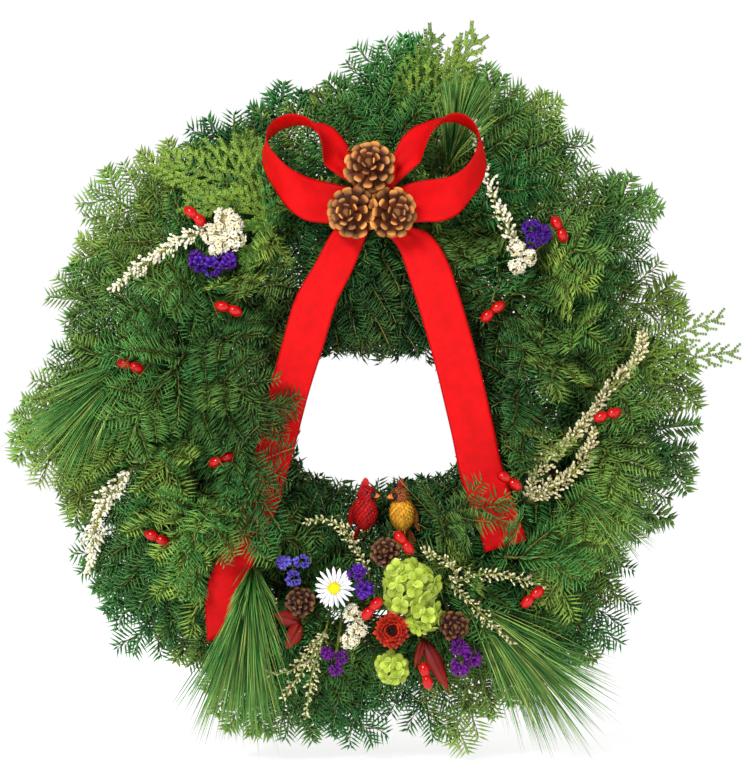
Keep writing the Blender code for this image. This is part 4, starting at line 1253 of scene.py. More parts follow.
def budded(piece, controls, material, spread, bud, gap, thick=1.0):
    """A stem with short branchlets of buds all round it, longest in the lower half."""
    controls = [Vector(at) for at in controls]
    length = way_length(controls)
    points = curve(controls, max(8, round(length / 5)))
    count = len(points)
    piece.tube(points, [thick * (1 - 0.6 * k / count) for k in range(count)], 5, BARK, 0.6, 0.7)
    steps = round(length / gap)
    wave = random.uniform(0, 2 * math.pi)
    for k in range(1, steps + 1):
        if random.random() < 0.15:
            continue
        share = k / steps
        at, along = place_on(points, share)
        aside = along.orthogonal().normalized()
        reach = spread * (0.35 + 0.75 * math.sin(math.pi * min(1.0, 0.2 + share * 0.8)))
        reach *= (0.85 + 0.3 * math.sin(wave + length * share / 7)) * random.uniform(0.75, 1.2)
        out = Matrix.Rotation(k * GOLDEN, 3, along) @ aside
        way = (out + along * 0.7).normalized()
        for n in range(1, 5):
            spot = at + way * reach * n / 4 * random.uniform(0.8, 1.1)
            jitter = nudge(1) * reach * 0.16
            spot = spot + jitter
            if in_box(spot):
                size = bud * random.uniform(0.75, 1.5)
                oval = (size, size, size * 1.3)
                lie = way + jitter * 0.1
                tone = random.random()
                age = random.random() * 0.6
                piece.put(BUD, material, spot, lie, out.cross(way), oval, tone, age)
        tip = at + way * reach
        if reach > 3 and in_box(tip):
            piece.tube([at, tip], [0.35, 0.25], 3, BARK, 0.6, 0.6)


def make_white_sprays():
    """Papery heads beside a long branch of white buds, at the upper left and right."""
    neck = Vector((-140, -64, 155))
    piece = Growth("white_spray_left")
    heads = ((-142, -80, 150), (-132, -80, 163), (-124, -78, 147), (-126, -78, 158), (-137, -80, 141))
    everlasting(piece, heads, neck, 12.0)
    branch = (neck, (-166, -74, 148), (-207, -66, 122), (-234, -58, 102))
    budded(piece, branch, IVORY, spread=7.2, bud=2.5, gap=1.1)
    joined(piece, neck, 1.3)
    piece.finish(["white_spray_upper_left"], "white_petal")
    neck = Vector((130, -64, 130))
    piece = Growth("white_spray_right")
    everlasting(piece, ((126, -78, 138), (137, -78, 130), (127, -78, 122)), neck, 9.5)
    branch = (neck, (115, -70, 165), (106, -64, 186), (96, -60, 215), (87, -58, 254))
    budded(piece, branch, IVORY, spread=6.5, bud=2.5, gap=1.4)
    joined(piece, neck, 1.3)
    piece.finish(["white_spray_upper_right"], "white_petal")


def make_plumes():
    """Cream plumes at the right and a white one at the left."""
    neck = Vector((137, -72, -84))
    piece = Growth("astilbe_plume_right")
    lower = (neck, (164, -76, -70), (187, -73, -48), (196, -70, -22))
    budded(piece, lower, CREAM, spread=8.6, bud=2.4, gap=0.8, thick=1.4)
    upper = (neck, (144, -76, -60), (176, -74, -28), (196, -70, -4))
    budded(piece, upper, CREAM, spread=6.8, bud=2.3, gap=0.9, thick=1.2)
    outer = ((194, -70, -8), (204, -68, 8), (219, -66, 23), (236, -62, 45), (239, -60, 64))
    budded(piece, outer, CREAM, spread=7.4, bud=2.3, gap=0.8, thick=1.2)
    joined(piece, neck, 1.6)
    piece.finish(["astilbe_right"], "cream_petal")
    neck = Vector((-218, -58, -58))
    piece = Growth("astilbe_plume_left")
    way = (neck, (-230, -62, -74), (-245, -58, -100), (-255, -50, -149))
    budded(piece, way, IVORY, spread=8.5, bud=2.5, gap=0.9, thick=1.2)
    joined(piece, neck, 1.6)
    piece.finish(["astilbe_left"], "cream_petal")


# The neck of each spray, and its twigs
HEATHER = (
    ("heather_right", (68, -80, -158),
     (((72, -92, -148), (62, -98, -136), (42, -100, -127)),
      ((99, -94, -149), (132, -92, -154), (150, -90, -160)),
      ((91, -92, -180), (122, -92, -210)))),
    ("heather_left", (-42, -82, -198),
     (((-60, -90, -230), (-80, -86, -258)),
      ((-54, -92, -236), (-60, -88, -276)),
      ((-70, -92, -232), (-92, -88, -236)))),
    ("heather_top", (-4, -80, -150),
     (((-14, -88, -130), (-26, -92, -110), (-44, -88, -101), (-60, -84, -104)),)),
)


def make_heather():
    """Cream sprays that reach out from under the flowers."""
    for name, neck, twigs in HEATHER:
        neck = Vector(neck)
        piece = Growth(name + "_buds")
        for twig in twigs:
            budded(piece, (neck, *twig), CREAM, spread=6.5, bud=1.7, gap=1.7, thick=0.8)
        joined(piece, neck, 1.0)
        piece.finish([name], "cream_petal")


def make_red_leaves():
    """Pairs of dark red leaves at the right and left of the flowers."""
    look = Vector((0.2, -1, 0.1))
    # The neck of each sprig, and the tip and width of its leaves
    sprigs = (
        ("red_leaves_right", (44, -82, -206), (((66, -92, -252), 15), ((36, -94, -232), 8))),
        ("red_leaves_left", (-64, -82, -192), (((-76, -98, -214), 15), ((-88, -92, -184), 15))),
    )
    for name, neck, leaves in sprigs:
        neck = Vector(neck)
        piece = Growth(name.replace("leaves", "blades"))
        for tip, wide in leaves:
            way = Vector(tip) - neck
            size = (wide, wide * 0.8, way.length)
            tone = random.random()
            piece.put(LEAF, MAROON, neck, way, look, size, tone, random.random())
            piece.tube([neck, neck + way * 0.5, neck + way * 0.95], [0.9, 0.7, 0.3], 5, MAROON, 0.2)
        joined(piece, neck, 1.0)
        piece.finish([name], "maroon_leaf")


# Berries

BERRY_SIZE = (9.6, 9.6, 13.6)
BERRY_END = 6.5


def make_berries():
    """Pairs of oval berries on wires, each with the dark mark of its blossom end."""
    pairs = (
        ("berries_upper_left", (-162.0, -76, 170.0), (-154.0, -76, 163.0)),
        ("berries_left_top", (-134.0, -80, 86.5), (-122.5, -80, 82.5)),
        ("berries_left", (-222.0, -68, 36.0), (-210.5, -68, 32.5)),
        ("berries_left_tail", (-139.0, -88, -50.5), (-127.5, -88, -46.5)),
        ("berries_lower_left", (-197.0, -72, -116.0), (-187.0, -72, -121.0)),
        ("berries_upper_right", (161.5, -76, 160.5), (167.0, -76, 149.5)),
        ("berries_right_tail", (109.5, -82, 86.0), (100.0, -82, 78.0)),
        ("berries_right", (200.0, -84, -11.0), (212.0, -84, -7.5)),
        ("berries_tail_end", (114.0, -95, -63.5), (124.0, -95, -70.5)),
        ("berries_lower_right", (135.0, -88, -173.5), (144.0, -88, -165.5)),
        ("berries_bottom_top", (23.0, -100, -116.5), (30.0, -100, -125.5)),
        ("berries_bottom_middle", (2.0, -114, -173.5), (-5.5, -112, -182.0)),
        ("berries_bottom_right", (44.0, -99, -232.0), (47.0, -99, -243.0)),
    )
    for name, one, two in pairs:
        piece = Growth(name.replace("berries", "red_berries"))
        one = Vector(one)
        two = Vector(two)
        across = (two - one).normalized()
        tip = Vector((0, -0.15, 0.12))
        back = (one + two) / 2 - FORWARD * 5
        for at, way in ((one, across + tip), (two, tip - across)):
            lie = way.normalized()
            ball(piece, BERRY, at, BERRY_SIZE, lie)
            end = at + lie * (BERRY_END if at == two else -BERRY_END)
            piece.put(BUD, BLACK, end - lie * 0.6, way, FORWARD, (1.5, 1.5, 1.6), 0.5)
            piece.tube([at, back], [0.9, 0.9], 5, BARK)
        joined(piece, back, 0.9)
        piece.finish([name], "berry")


# Birds


def feathers(piece, material, centre, size, count, along, length, wide):
    """Overlapping feathers lying on an oval body, all pointing one way."""
    for k in range(count):
        z = 1 - 2 * (k + 0.5) / count
        flat = math.sqrt(1 - z * z)
        out = Vector((flat * math.cos(k * GOLDEN), flat * math.sin(k * GOLDEN), z))
        at = centre + Vector(c * s / 2 for c, s in zip(out, size))
        normal = Vector(c / s for c, s in zip(out, size)).normalized()
        lie = along - normal * along.dot(normal)
        if lie.length < 0.15:
            continue
        ruffled = random.uniform(-0.2, 0.2) * normal.cross(lie)
        lie = (lie.normalized() + normal * 0.12 + ruffled).normalized()
        root = at - lie * length * 0.35
        piece.put(BRACT, material, root, lie, normal, (wide, wide, length), random.random())


def long_feather(piece, material, at, lie, up, size, age):
    """One feather of a wing, crest or tail."""
    piece.put(PETAL, material, at, lie, up, size, random.random(), age)


def bird_wings(piece, foot, back, coat):
    """Two folded wings, their feathers stacked from the shoulder down."""
    for side in (-1, 1):
        shoulder = foot + UP * 5 + Vector((side * 7.5, -2, 0)) + back * 2
        up = Vector((side * 0.8, -0.7, 0))
        for k in range(6):
            lie = (Vector((side * 0.12, 0, -1)) + back * (0.25 + k * 0.04)).normalized()
            start = shoulder + Vector((0, -1.2 + 0.5 * k, -2.4 * k))
            long_feather(piece, coat, start, lie, up, (5.2, 3.0, 15.0), 0.3)


def bird_face(piece, face, aside):
    """A dark mask, a short beak in two halves and two eyes."""
    beak = face + aside * 6.6 - UP * 0.5
    ball(piece, BLACK, beak - aside * 0.8 + FORWARD * 0.8, (9.5, 7.0, 8.0), UP)
    for drop in (0.5, -0.7):
        way = aside + UP * (-0.12 * drop)
        piece.put(LONG_NEEDLE, BEAK, beak + UP * drop, way, UP, (6.5, 6.0, 8.0), 0.5, 0.2)
    for side in (-1, 1):
        eye = face + aside * 4.4 + UP * 2.4 + aside.cross(UP) * side * 6.0
        ball(piece, BLACK, eye, (2.0, 2.0, 2.0))


def make_bird(name, body, beak_to, coat, breast, crest):
    """A small bird, upright, with its head turned to one side."""
    piece = Growth(name.replace("bird", "little_bird"))
    foot = Vector(body)
    aside = Vector((beak_to, -0.8, 0)).normalized()
    back = Vector((-beak_to, 0.5, 0)).normalized()
    down = Vector((0, 0, -1)) + back * 0.25
    chest = foot + UP * -4
    ball(piece, breast, chest, (21, 20, 29), UP + back * -0.25)
    feathers(piece, breast, chest, (21, 20.5, 29), 170, down, length=7.5, wide=4.2)
    face = foot + UP * 11.5 + aside * 2.5
    ball(piece, coat, face, (16, 15.5, 15.5))
    feathers(piece, coat, face, (16.5, 16, 16), 120, down + back, length=5.0, wide=3.2)
    bird_wings(piece, foot, back, coat)
    for k in range(7):
        lie = (UP * 1.0 + back * (0.2 + 0.15 * k)).normalized()
        crown = face + UP * (5.0 - k * 0.7) + back * 0.6 * k
        long_feather(piece, crest, crown, lie, FORWARD, (6.0, 3.0, 10.5 - k), 0.2)
    for k in range(-2, 3):
        lie = (Vector((0, 0, -1)) + back * 0.45 + Vector((k * 0.08, 0, 0))).normalized()
        long_feather(piece, coat, foot + UP * -14 + back * 4, lie, aside, (4.2, 2.4, 19.0), 0.4)
    bird_face(piece, face, aside)
    for side in (-1, 1):
        toe = foot + Vector((side * 2.5, -1, -17))
        piece.tube([toe, toe + Vector((0, -1.5, -5))], [0.5, 0.4], 5, BEAK)
    joined(piece, foot + Vector((0, 6, -10)), 1.3)
    piece.finish([name], "red_feather" if beak_to > 0 else "yellow_feather")


# Pine, cedar and fir


# The lower part of the left tail that shows between the pine needles: its top and bottom, its
# left edge, its right edge at one height, how much that edge leans, and the side it is on
TAIL_TOP = -128
TAIL_BOTTOM = -213
TAIL_LEFT_EDGE = -152
TAIL_RIGHT_EDGE = -118
TAIL_EDGE_AT = -131
TAIL_LEAN = 0.235
TAIL_SIDE = -60
# The length of a long needle, and the least that one is shortened to before it is left out
PINE_NEEDLE = 115.0
PINE_SHORTEST = 25


def in_the_way(point):
    """Whether a pine needle here would cover a flower or the part of the left tail that shows."""
    if point.z > TAIL_TOP or point.x > TAIL_SIDE:
        return hides(point)
    edge = TAIL_RIGHT_EDGE + TAIL_LEAN * (point.z - TAIL_EDGE_AT)
    shown = TAIL_BOTTOM < point.z and TAIL_LEFT_EDGE < point.x < edge
    return shown or hides(point, True)


def drooping(at, way, long, droop):
    """The middle and the tip of a needle that bends under its weight."""
    return at + way * long * 0.5 + droop * 0.25, at + way * long + droop


def covers(at, mid, end):
    """Whether a long needle would run into something or stand in front of it."""
    if blocked(end, 1.2) or blocked(mid, 1.2):
        return True
    if any(in_the_way(at.lerp(mid, near)) for near in (0.6, 1.0)):
        return True
    return any(in_the_way(mid.lerp(end, near)) for near in (0.5, 1.0))


def pine_tuft(piece, controls, needle, count):
    """A stem with bundles of long fine needles that fan forwards and droop."""
    points = curve(controls, 14)
    piece.tube(points, [2.4 * (1 - 0.5 * k / 14) for k in range(14)], 6, BARK)
    for k in range(count):
        at, along = place_on(points, random.random() ** 0.8)
        aside = along.orthogonal().normalized()
        out = Matrix.Rotation(k * GOLDEN, 3, along) @ aside
        open_by = random.uniform(0.18, 0.62)
        way = (along + out * open_by).normalized()
        long = needle * random.uniform(0.75, 1.05)
        droop = Vector((0, 0, -1)) * long * random.uniform(0.02, 0.16)
        mid, end = drooping(at, way, long, droop)
        while long > PINE_SHORTEST and covers(at, mid, end):
            long *= 0.8
            droop *= 0.8
            mid, end = drooping(at, way, long, droop)
        if long > PINE_SHORTEST:
            tone = random.random()
            age = random.random() ** 3
            piece.put(LONG_NEEDLE, PINE, at, way, out, (1.25, 1.0, long), tone, age, droop)


def make_pines():
    """Five tufts of long needles round the wreath."""
    # The way of each stem, the share of the full needle length, and how many needles
    tufts = (
        ("pine_left", ((-198, -42, 52), (-222, -46, 32), (-244, -50, 8)), 0.85, 420),
        ("pine_bottom_left", ((-106, -66, -136), (-109, -86, -160), (-114, -86, -190)), 1.0, 560),
        ("pine_bottom_right", ((78, -62, -170), (98, -66, -190), (124, -66, -214)), 1.0, 420),
        ("pine_right", ((160, -52, -62), (178, -60, -74), (192, -60, -86)), 0.65, 300),
        ("pine_top_right", ((64, -46, 206), (70, -52, 226), (75, -52, 246)), 0.62, 460),
    )
    for name, controls, size, count in tufts:
        piece = Growth(name.replace("pine", "pine_tuft"))
        controls = [Vector(at) for at in controls]
        pine_tuft(piece, controls, PINE_NEEDLE * size, count)
        joined(piece, controls[0], 1.8)
        piece.finish([name], "pine")


def scaly_twig(piece, points, face, wide, age):
    """A flat twig clad in small overlapping scale leaves."""
    length = way_length(points)
    count = len(points)
    piece.tube(points, [0.75 - 0.35 * k / count for k in range(count)], 4, CEDAR, 0.4, age)
    steps = max(3, round(length / 2.6))
    for k in range(steps):
        at, along = place_on(points, k / steps)
        side = along.cross(face).normalized()
        for turn in (-1, 1):
            way = along + side * turn * 0.55
            leaf = (wide * 1.25, wide * 0.7, wide * 2.3)
            piece.put(NEEDLE, CEDAR, at, way, face, leaf, random.random(), age)


def cedar_frond(piece, controls, age, full):
    """A flat frond: a main twig, side twigs on both sides and short ones on those."""
    points = curve(controls, 22)
    face = (FORWARD + Vector((random.uniform(-0.3, 0.3), 0, random.uniform(-0.2, 0.3)))).normalized()
    scaly_twig(piece, points, face, 2.2 * full, age)
    length = way_length(points)
    for k in range(3, 21):
        left = 1 - k / 21
        turn = 1 if k % 2 else -1
        along = (points[k] - points[k - 1]).normalized()
        side = along.cross(face).normalized() * turn
        reach = min(length * 0.36, 52) * (0.35 + left) * random.uniform(0.8, 1.05) * full
        way = (along * 0.8 + side * 0.65 + face * random.uniform(-0.15, 0.2)).normalized()
        end = points[k] + way * reach + along * reach * 0.2
        if blocked(end, 2.0) or hides(end):
            continue
        twig = curve([points[k], points[k] + way * reach * 0.55, end], 9)
        scaly_twig(piece, twig, face, 2.0 * full, age)
        for n in (2, 3, 5, 6):
            small = reach * 0.30 * (1.1 - n / 9)
            turn_two = 1 if n % 2 else -1
            out = (way + way.cross(face) * turn_two * 0.75).normalized()
            tip = twig[n] + out * small
            if small > 3 and not blocked(tip, 1.5) and not hides(tip):
                short = [twig[n], twig[n].lerp(tip, 0.5), tip]
                scaly_twig(piece, short, face, 1.8 * full, min(1.0, age + 0.2))


# How full each spray is, its root, and the way of each frond
CEDARS = (
    (
        "cedar_upper_left",
        1.0,
        (-84, -52, 168),
        (
            ((-115, -62, 190), (-150, -60, 205), (-190, -52, 216)),
            ((-104, -66, 148), (-112, -68, 120)),
            ((-100, -58, 205), (-118, -56, 240)),
            ((-120, -66, 172), (-168, -62, 178)),
        ),
    ),
    (
        "cedar_top",
        0.85,
        (26, -44, 230),
        (
            ((48, -50, 270), (76, -46, 305), (92, -42, 332)),
            ((40, -48, 290), (54, -44, 332)),
        ),
    ),
    (
        "cedar_right",
        0.62,
        (204, -44, 18),
        (
            ((250, -50, 36), (290, -46, 42), (328, -40, 48)),
            ((240, -50, 48), (280, -46, 66), (314, -40, 79)),
        ),
    ),
)


def make_cedars():
    """Flat cedar sprays at the upper left, the top and the right."""
    for name, full, root, twigs in CEDARS:
        piece = Growth(name.replace("cedar", "cedar_frond"))
        root = Vector(root)
        for twig in twigs:
            age = random.uniform(0.1, 0.7) + 0.8 * (1 - full)
            cedar_frond(piece, [root, *[Vector(at) for at in twig]], age, full)
        joined(piece, root, 1.6)
        piece.finish([name], "cedar")


# Tips of the fir sprays round the outside, clockwise from the top
FIR_OUTER = (
    (4, -40, 324), (28, -24, 336), (118, -30, 300), (156, -16, 286), (186, -36, 246),
    (204, -50, 202), (255, -22, 194), (248, -44, 148), (284, -24, 94), (298, -18, 12),
    (257, -40, -19), (293, -20, -64), (256, -24, -114), (204, -20, -170), (212, -40, -222),
    (190, -18, -236), (104, -30, -284), (73, -44, -309), (-2, -40, -309), (-32, -18, -302),
    (-112, -24, -302), (-193, -18, -222), (-219, -44, -226), (-229, -48, -122),
    (-283, -22, -95), (-313, -36, -59), (-332, -20, -32), (-309, -40, 4), (-296, -38, 98),
    (-270, -20, 152), (-258, -36, 197), (-214, -22, 230), (-152, -34, 260), (-95, -24, 284),
    (-27, -22, 297),
)
# Between the tips the outline draws in: clock angle in degrees and radius
OUTLINE_NOTCHES = (
    (30, 308), (40, 275), (60, 286), (74, 288), (95, 259), (116, 266), (127, 260), (157, 299),
    (175, 275), (190, 300), (217, 303), (235, 295), (246, 291), (276, 304), (284, 290),
    (315, 299), (335, 293), (350, 297),
)
# Sprays over the front and round the hole: a point on the way, and the tip
FIR_FRONT = (
    ((-173, -62, 39), (-228, -66, -32)), ((-138, -66, 51), (-130, -70, -20)),
    ((-128, -88, 4), (-70, -99, -6)), ((-124, -88, -28), (-112, -95, -92)),
    ((-152, -60, -85), (-134, -62, -134)), ((-176, -56, -100), (-166, -60, -166)),
    ((-150, -52, 90), (-196, -66, 80)), ((120, -56, 100), (166, -66, 96)),
    ((136, -60, 60), (166, -66, 12)), ((124, -66, 8), (150, -70, -50)),
    ((119, -94, -134), (190, -98, -132)), ((-140, -84, -104), (-90, -98, -122)),
    ((170, -66, -104), (236, -60, -100)), ((0, -56, 262), (-30, -50, 250)),
    ((118, -50, 196), (160, -52, 196)), ((-20, -52, 128), (-46, -56, 52)),
    ((0, -56, 128), (-12, -60, 36)), ((28, -56, 124), (22, -60, 36)),
    ((-92, -36, 78), (-64, -40, 26)), ((96, -36, 60), (66, -40, 10)),
    ((-118, -36, -40), (-62, -40, -56)), ((112, -36, -50), (62, -40, -57)),
    ((-40, -36, -140), (-44, -46, -70)), ((-4, -40, -130), (4, -44, -66)),
    ((60, -44, -130), (46, -50, -62)), ((-70, -50, -110), (-30, -76, -98)),
    ((60, -60, -110), (84, -66, -96)), ((-6, -30, -212), (-14, -34, -264)),
    ((14, -36, -214), (28, -38, -270)), ((0, -44, -200), (6, -52, -252)),
    ((-20, -40, -196), (-34, -48, -248)), ((4, -46, -150), (-2, -54, -196)),
    ((12, -40, -160), (10, -46, -110)), ((26, -44, -140), (32, -52, -96)),
    ((-84, -84, -94), (-24, -98, -142)), ((-160, -50, 124), (-150, -58, 62)),
    ((-122, -46, 112), (-136, -54, 52)), ((-70, -44, 130), (-92, -50, 80)),
    ((-60, -36, -182), (-46, -44, -206)), ((-24, -34, -176), (-40, -42, -214)),
    ((44, -34, -196), (52, -44, -236)), ((-30, -48, -112), (4, -58, -140)),
    ((-52, -44, -150), (-10, -54, -130)), ((20, -46, -152), (-18, -54, -150)),
    ((-14, -48, -162), (-46, -54, -142)), ((150, -40, 110), (168, -50, 50)),
    ((160, -40, 60), (190, -48, 110)), ((104, -36, 128), (84, -46, 90)),
    ((140, -44, 104), (190, -54, 70)), ((-108, -92, -56), (-102, -99, -128)),
    ((-126, -90, 18), (-80, -99, -16)), ((-118, -91, -40), (-84, -99, -76)),
    ((-158, -88, -96), (-152, -93, -166)), ((-150, -88, -92), (-126, -96, -128)),
    ((-190, -40, -96), (-262, -36, -151)), ((-172, -34, -124), (-240, -32, -186)),
    ((-188, -26, -112), (-250, -20, -168)), ((-216, -40, 30), (-286, -36, 50)),
    ((36, -40, -210), (53, -36, -300)), ((-56, -40, -212), (-80, -36, -299)),
    ((64, -84, -100), (121, -99, -88)),
)
# Those of them that may lie over the ribbon, by the point on their way
OVER_RIBBON = (
    (-128, -88, 4), (-124, -88, -28), (119, -94, -134), (-140, -84, -104), (-108, -92, -56),
    (-126, -90, 18), (-118, -91, -40), (-158, -88, -96), (-150, -88, -92), (64, -84, -100),
)
# The root of an outer spray is at this share of its tip's clock angle, off its bunch's ends
SWEEP = 0.9
ROOT_MARGIN = math.radians(5)
BUNCH_ANGLE = 2 * math.pi / BUNCHES
NEEDLE_LENGTH = 21.5
NEEDLE_WIDTH = 2.0
NEEDLE_GAP = 3.6
NEEDLE_CLEAR = 0.9
# How far the last needles reach past the end of their twig
TIP_NEEDLES = 6.0
SPRAY_STEM = 1.7
SPRAY_CLEAR = 2.2
TWIG_STEM = 0.9
TWIG_GAP = 20.0
TWIG_CLEAR = 2.0
TWIG_SHORTEST = 16
TWIG_LONGEST = 66.0
TWIG_NEEDLES = NEEDLE_LENGTH * 0.9
TWIG_BARE = 2.0
# Behind this depth the needles are broader, so that the boughs are dense with fewer of them
BROAD_FROM = -34
BROADER = 1.75
# Light painted into the fir needles' colour reaches them from this depth forwards and from this radius
# outwards, and less of it near the hole; elsewhere the needles are painted with shade
LIT_DEPTH = 110
LIT_RADIUS = (235, 320)
SHADED_RADIUS = (85, 180)
SHADED_LEAST = 0.2
# The stems of a bunch, bound side by side round the ring
STEMS = 19
STEM_STEPS = 12
STEM_RADII = (1.6, 2.4)
STEM_INSET = 1.9
STEM_SPAN = (0.003, 0.997)
STEM_TWIST = 1.1


def bunch_of(angle):
    """The bunch that a spray roots in, and its angle kept off the bunch's ends."""
    angle %= 2 * math.pi
    number = int(angle / BUNCH_ANGLE)
    start = number * BUNCH_ANGLE + ROOT_MARGIN
    end = (number + 1) * BUNCH_ANGLE - ROOT_MARGIN
    return number, min(max(angle, start), end)


def painted_light(at):
    """Painted light for a fir needle's colour: from 0, painted shade in the depth of the foliage, to 1 at
    its front and its outer edge.
    """
    reach = math.hypot(at.x, at.z)
    low, high = LIT_RADIUS
    bright = max(0.0, -at.y / LIT_DEPTH, (reach - low) / (high - low))
    low, high = SHADED_RADIUS
    return min(1.0, bright * min(1.0, max(SHADED_LEAST, (reach - low) / (high - low))))


def needled(piece, points, face, length, stem, age, bare, free_view):
    """One fir twig with a comb of needles on both sides and shorter ones over the top."""
    whole = way_length(points)
    count = len(points)
    radii = [stem * (1 - 0.6 * k / (count - 1)) for k in range(count)]
    piece.tube(points, radii, 4, TWIG, random.random(), age * 0.5)
    steps = max(3, round(whole / NEEDLE_GAP))
    for k in range(steps + 1):
        share = k / steps
        if share * whole < bare:
            continue
        at, along = place_on(points, share)
        side = along.cross(face).normalized()
        over = side.cross(along)
        if over.dot(face) < 0:
            over = -over
        shorter = 1 - 0.45 * max(0.0, share - 0.6) / 0.4
        ahead = 0.55 + 0.8 * max(0.0, share - 0.75)
        for way, size in (
            (side + along * ahead + over * random.uniform(0.0, 0.35), 1.0),
            (-side + along * ahead + over * random.uniform(0.0, 0.35), 1.0),
            (over * 0.7 + along * 0.9 + side * random.uniform(-0.7, 0.7), 0.72),
        ):
            way = (way + nudge(0.1)).normalized()
            long = length * shorter * size * random.uniform(0.85, 1.08)
            tip = at + way * long
            if blocked(tip, NEEDLE_CLEAR) or in_opening(at):
                continue
            middle = at.lerp(tip, 0.5)
            if hides(tip, free_view) or hides(middle, free_view):
                continue
            if THINGS.find_nearest(middle)[3] < NEEDLE_CLEAR:
                continue
            # The needle's tone carries painted light and shade, and a random part of its own
            lit = painted_light(at) ** 1.2 * 0.74 + random.random() * 0.27
            wide = NEEDLE_WIDTH if at.y < BROAD_FROM else NEEDLE_WIDTH * BROADER
            piece.put(NEEDLE, FIR, at, way, over, (wide, 0.9, long), lit, age)


def free_part(points, root, free_view):
    """The way outside the bound stems, up to the first thing in its way."""
    start = 0
    for k, at in enumerate(points):
        if (at - root).length < BUNDLE_RADIUS:
            start = k
    end = len(points)
    for k in range(start + 1, len(points)):
        if blocked(points[k], SPRAY_CLEAR) or hides(points[k], free_view):
            end = k
            break
    return start, end


def side_twig(root, way, along, reach):
    """The middle and the tip of a side twig."""
    return root + way * reach * 0.5, root + way * reach + along * reach * 0.15


def fir_spray(piece, root, via, tip, age, free_view=False):
    """A fir branch with its side twigs in one plane, narrowing to the tip."""
    points = curve([root, via, tip], 26)
    start, end = free_part(points, root, free_view)
    points = points[:end]
    if len(points) - start < 6:
        return
    length = way_length(points[start:])
    flat = (tip - root).normalized()
    lean = Vector((random.uniform(-0.35, 0.35), 0, random.uniform(-0.15, 0.45)))
    face = FORWARD + lean
    face = (face - flat * face.dot(flat)).normalized()
    needled(piece, points, face, NEEDLE_LENGTH, SPRAY_STEM, age, BUNDLE_RADIUS, free_view)
    run = 0.0
    turn = random.choice((-1, 1))
    next_twig = length * 0.22
    for k in range(start + 1, len(points)):
        run += (points[k] - points[k - 1]).length
        if run < next_twig or run > length - 12:
            continue
        next_twig = run + TWIG_GAP * random.uniform(0.45, 0.65)
        turn = -turn
        along = (points[k] - points[k - 1]).normalized()
        side = along.cross(face).normalized() * turn
        reach = min(TWIG_LONGEST, TWIG_SHORTEST + (length - run) * 0.5) * random.uniform(0.8, 1.05)
        way = (along * 0.72 + side * 0.68 + face * random.uniform(-0.1, 0.25)).normalized()
        middle, end = side_twig(points[k], way, along, reach)
        while reach > TWIG_SHORTEST and (
            blocked(end, TWIG_CLEAR)
            or blocked(middle, TWIG_CLEAR)
            or hides(end, free_view)
            or hides(middle, free_view)
        ):
            reach *= 0.75
            middle, end = side_twig(points[k], way, along, reach)
        if reach > TWIG_SHORTEST:
            twig = curve([points[k], middle, end], 5)
            needled(piece, twig, face, TWIG_NEEDLES, TWIG_STEM, age, TWIG_BARE, free_view)


def outline_radius(angle):
    """How far the foliage reaches at this clock angle."""
    tips = [(math.atan2(x, z) % (2 * math.pi), math.hypot(x, z)) for x, _, z in FIR_OUTER]
    tips = sorted(tips + [(math.radians(turn), radius) for turn, radius in OUTLINE_NOTCHES])
    angle %= 2 * math.pi
    tips = [(tips[-1][0] - 2 * math.pi, tips[-1][1]), *tips, (tips[0][0] + 2 * math.pi, tips[0][1])]
    for (low, a), (high, b) in zip(tips, tips[1:]):
        if low <= angle <= high:
            return a + (b - a) * (angle - low) / max(high - low, 1e-6)
    return tips[0][1]


def hole_radius(angle):
    """How far the clear hole reaches at this clock angle round the ring."""
    far = 40.0
    while far < 110.0:
        clear, away = hole_reach(math.sin(angle) * far, math.cos(angle) * far)
        if away > clear:
            break
        far += 2.0
    return far


# How many sprays fill each layer, where their tips end (a share of the outline's radius, or so
# far out from the ring or from the hole's edge), and how deep
LAYERS = (
    (48, "outer", (0.82, 0.97), (-34, -12)),
    (42, "outer", (0.7, 0.86), (-66, -40)),
    (30, "middle", (22, 70), (-88, -66)),
    (30, "middle", (-66, -12), (-84, -50)),
    (34, "inner", (4, 18), (-46, -12)),
    (48, "ring", (-46, 50), (-50, -12)),
    (24, "outer", (0.62, 0.9), (-9, -2)),
    (15, "inner", (8, 40), (-8, -2)),
)


def bound_stems(piece, number):
    """The stems of one bunch, which twist a little round each other."""
    low, high = STEM_SPAN
    for n in range(STEMS):
        turn = n * GOLDEN
        far = math.sqrt((n + 0.5) / STEMS)
        way = []
        for step in range(STEM_STEPS + 1):
            share = step / STEM_STEPS
            radius = (bundle_radius(share) - STEM_INSET) * far
            angle = BUNCH_ANGLE * (number + low + (high - low) * share)
            y = bundle_y(bundle_radius(share))
            twist = turn + share * STEM_TWIST
            out = RING_RADIUS + radius * math.cos(twist)
            way.append(on_ring(angle, out, y + radius * math.sin(twist)))
        radii = [random.uniform(*STEM_RADII)] * len(way)
        tone = random.random()
        piece.tube(way, radii, 6, BARK, tone, random.random())


def root_at(angle):
    """Where a spray leaves the bound stems."""
    return on_ring(angle, RING_RADIUS, bundle_y(BUNDLE_RADIUS))


def outer_sprays(pieces):
    """The sprays that end at the outline, paler at the left and the right."""
    for tip in FIR_OUTER:
        tip = Vector(tip)
        tip -= tip.normalized() * TIP_NEEDLES
        number, angle = bunch_of(math.atan2(tip.x, tip.z) * SWEEP)
        foot = on_ring(angle, RING_RADIUS + 26, -30)
        pale = tip.x < -180 and tip.z > -90 or tip.x > 250 and -30 < tip.z < 120
        age = random.uniform(0.3, 0.9) if pale else random.random() ** 2 * 0.7
        fir_spray(pieces[number], root_at(angle), foot.lerp(tip, 0.3) + FORWARD * 9, tip, age)


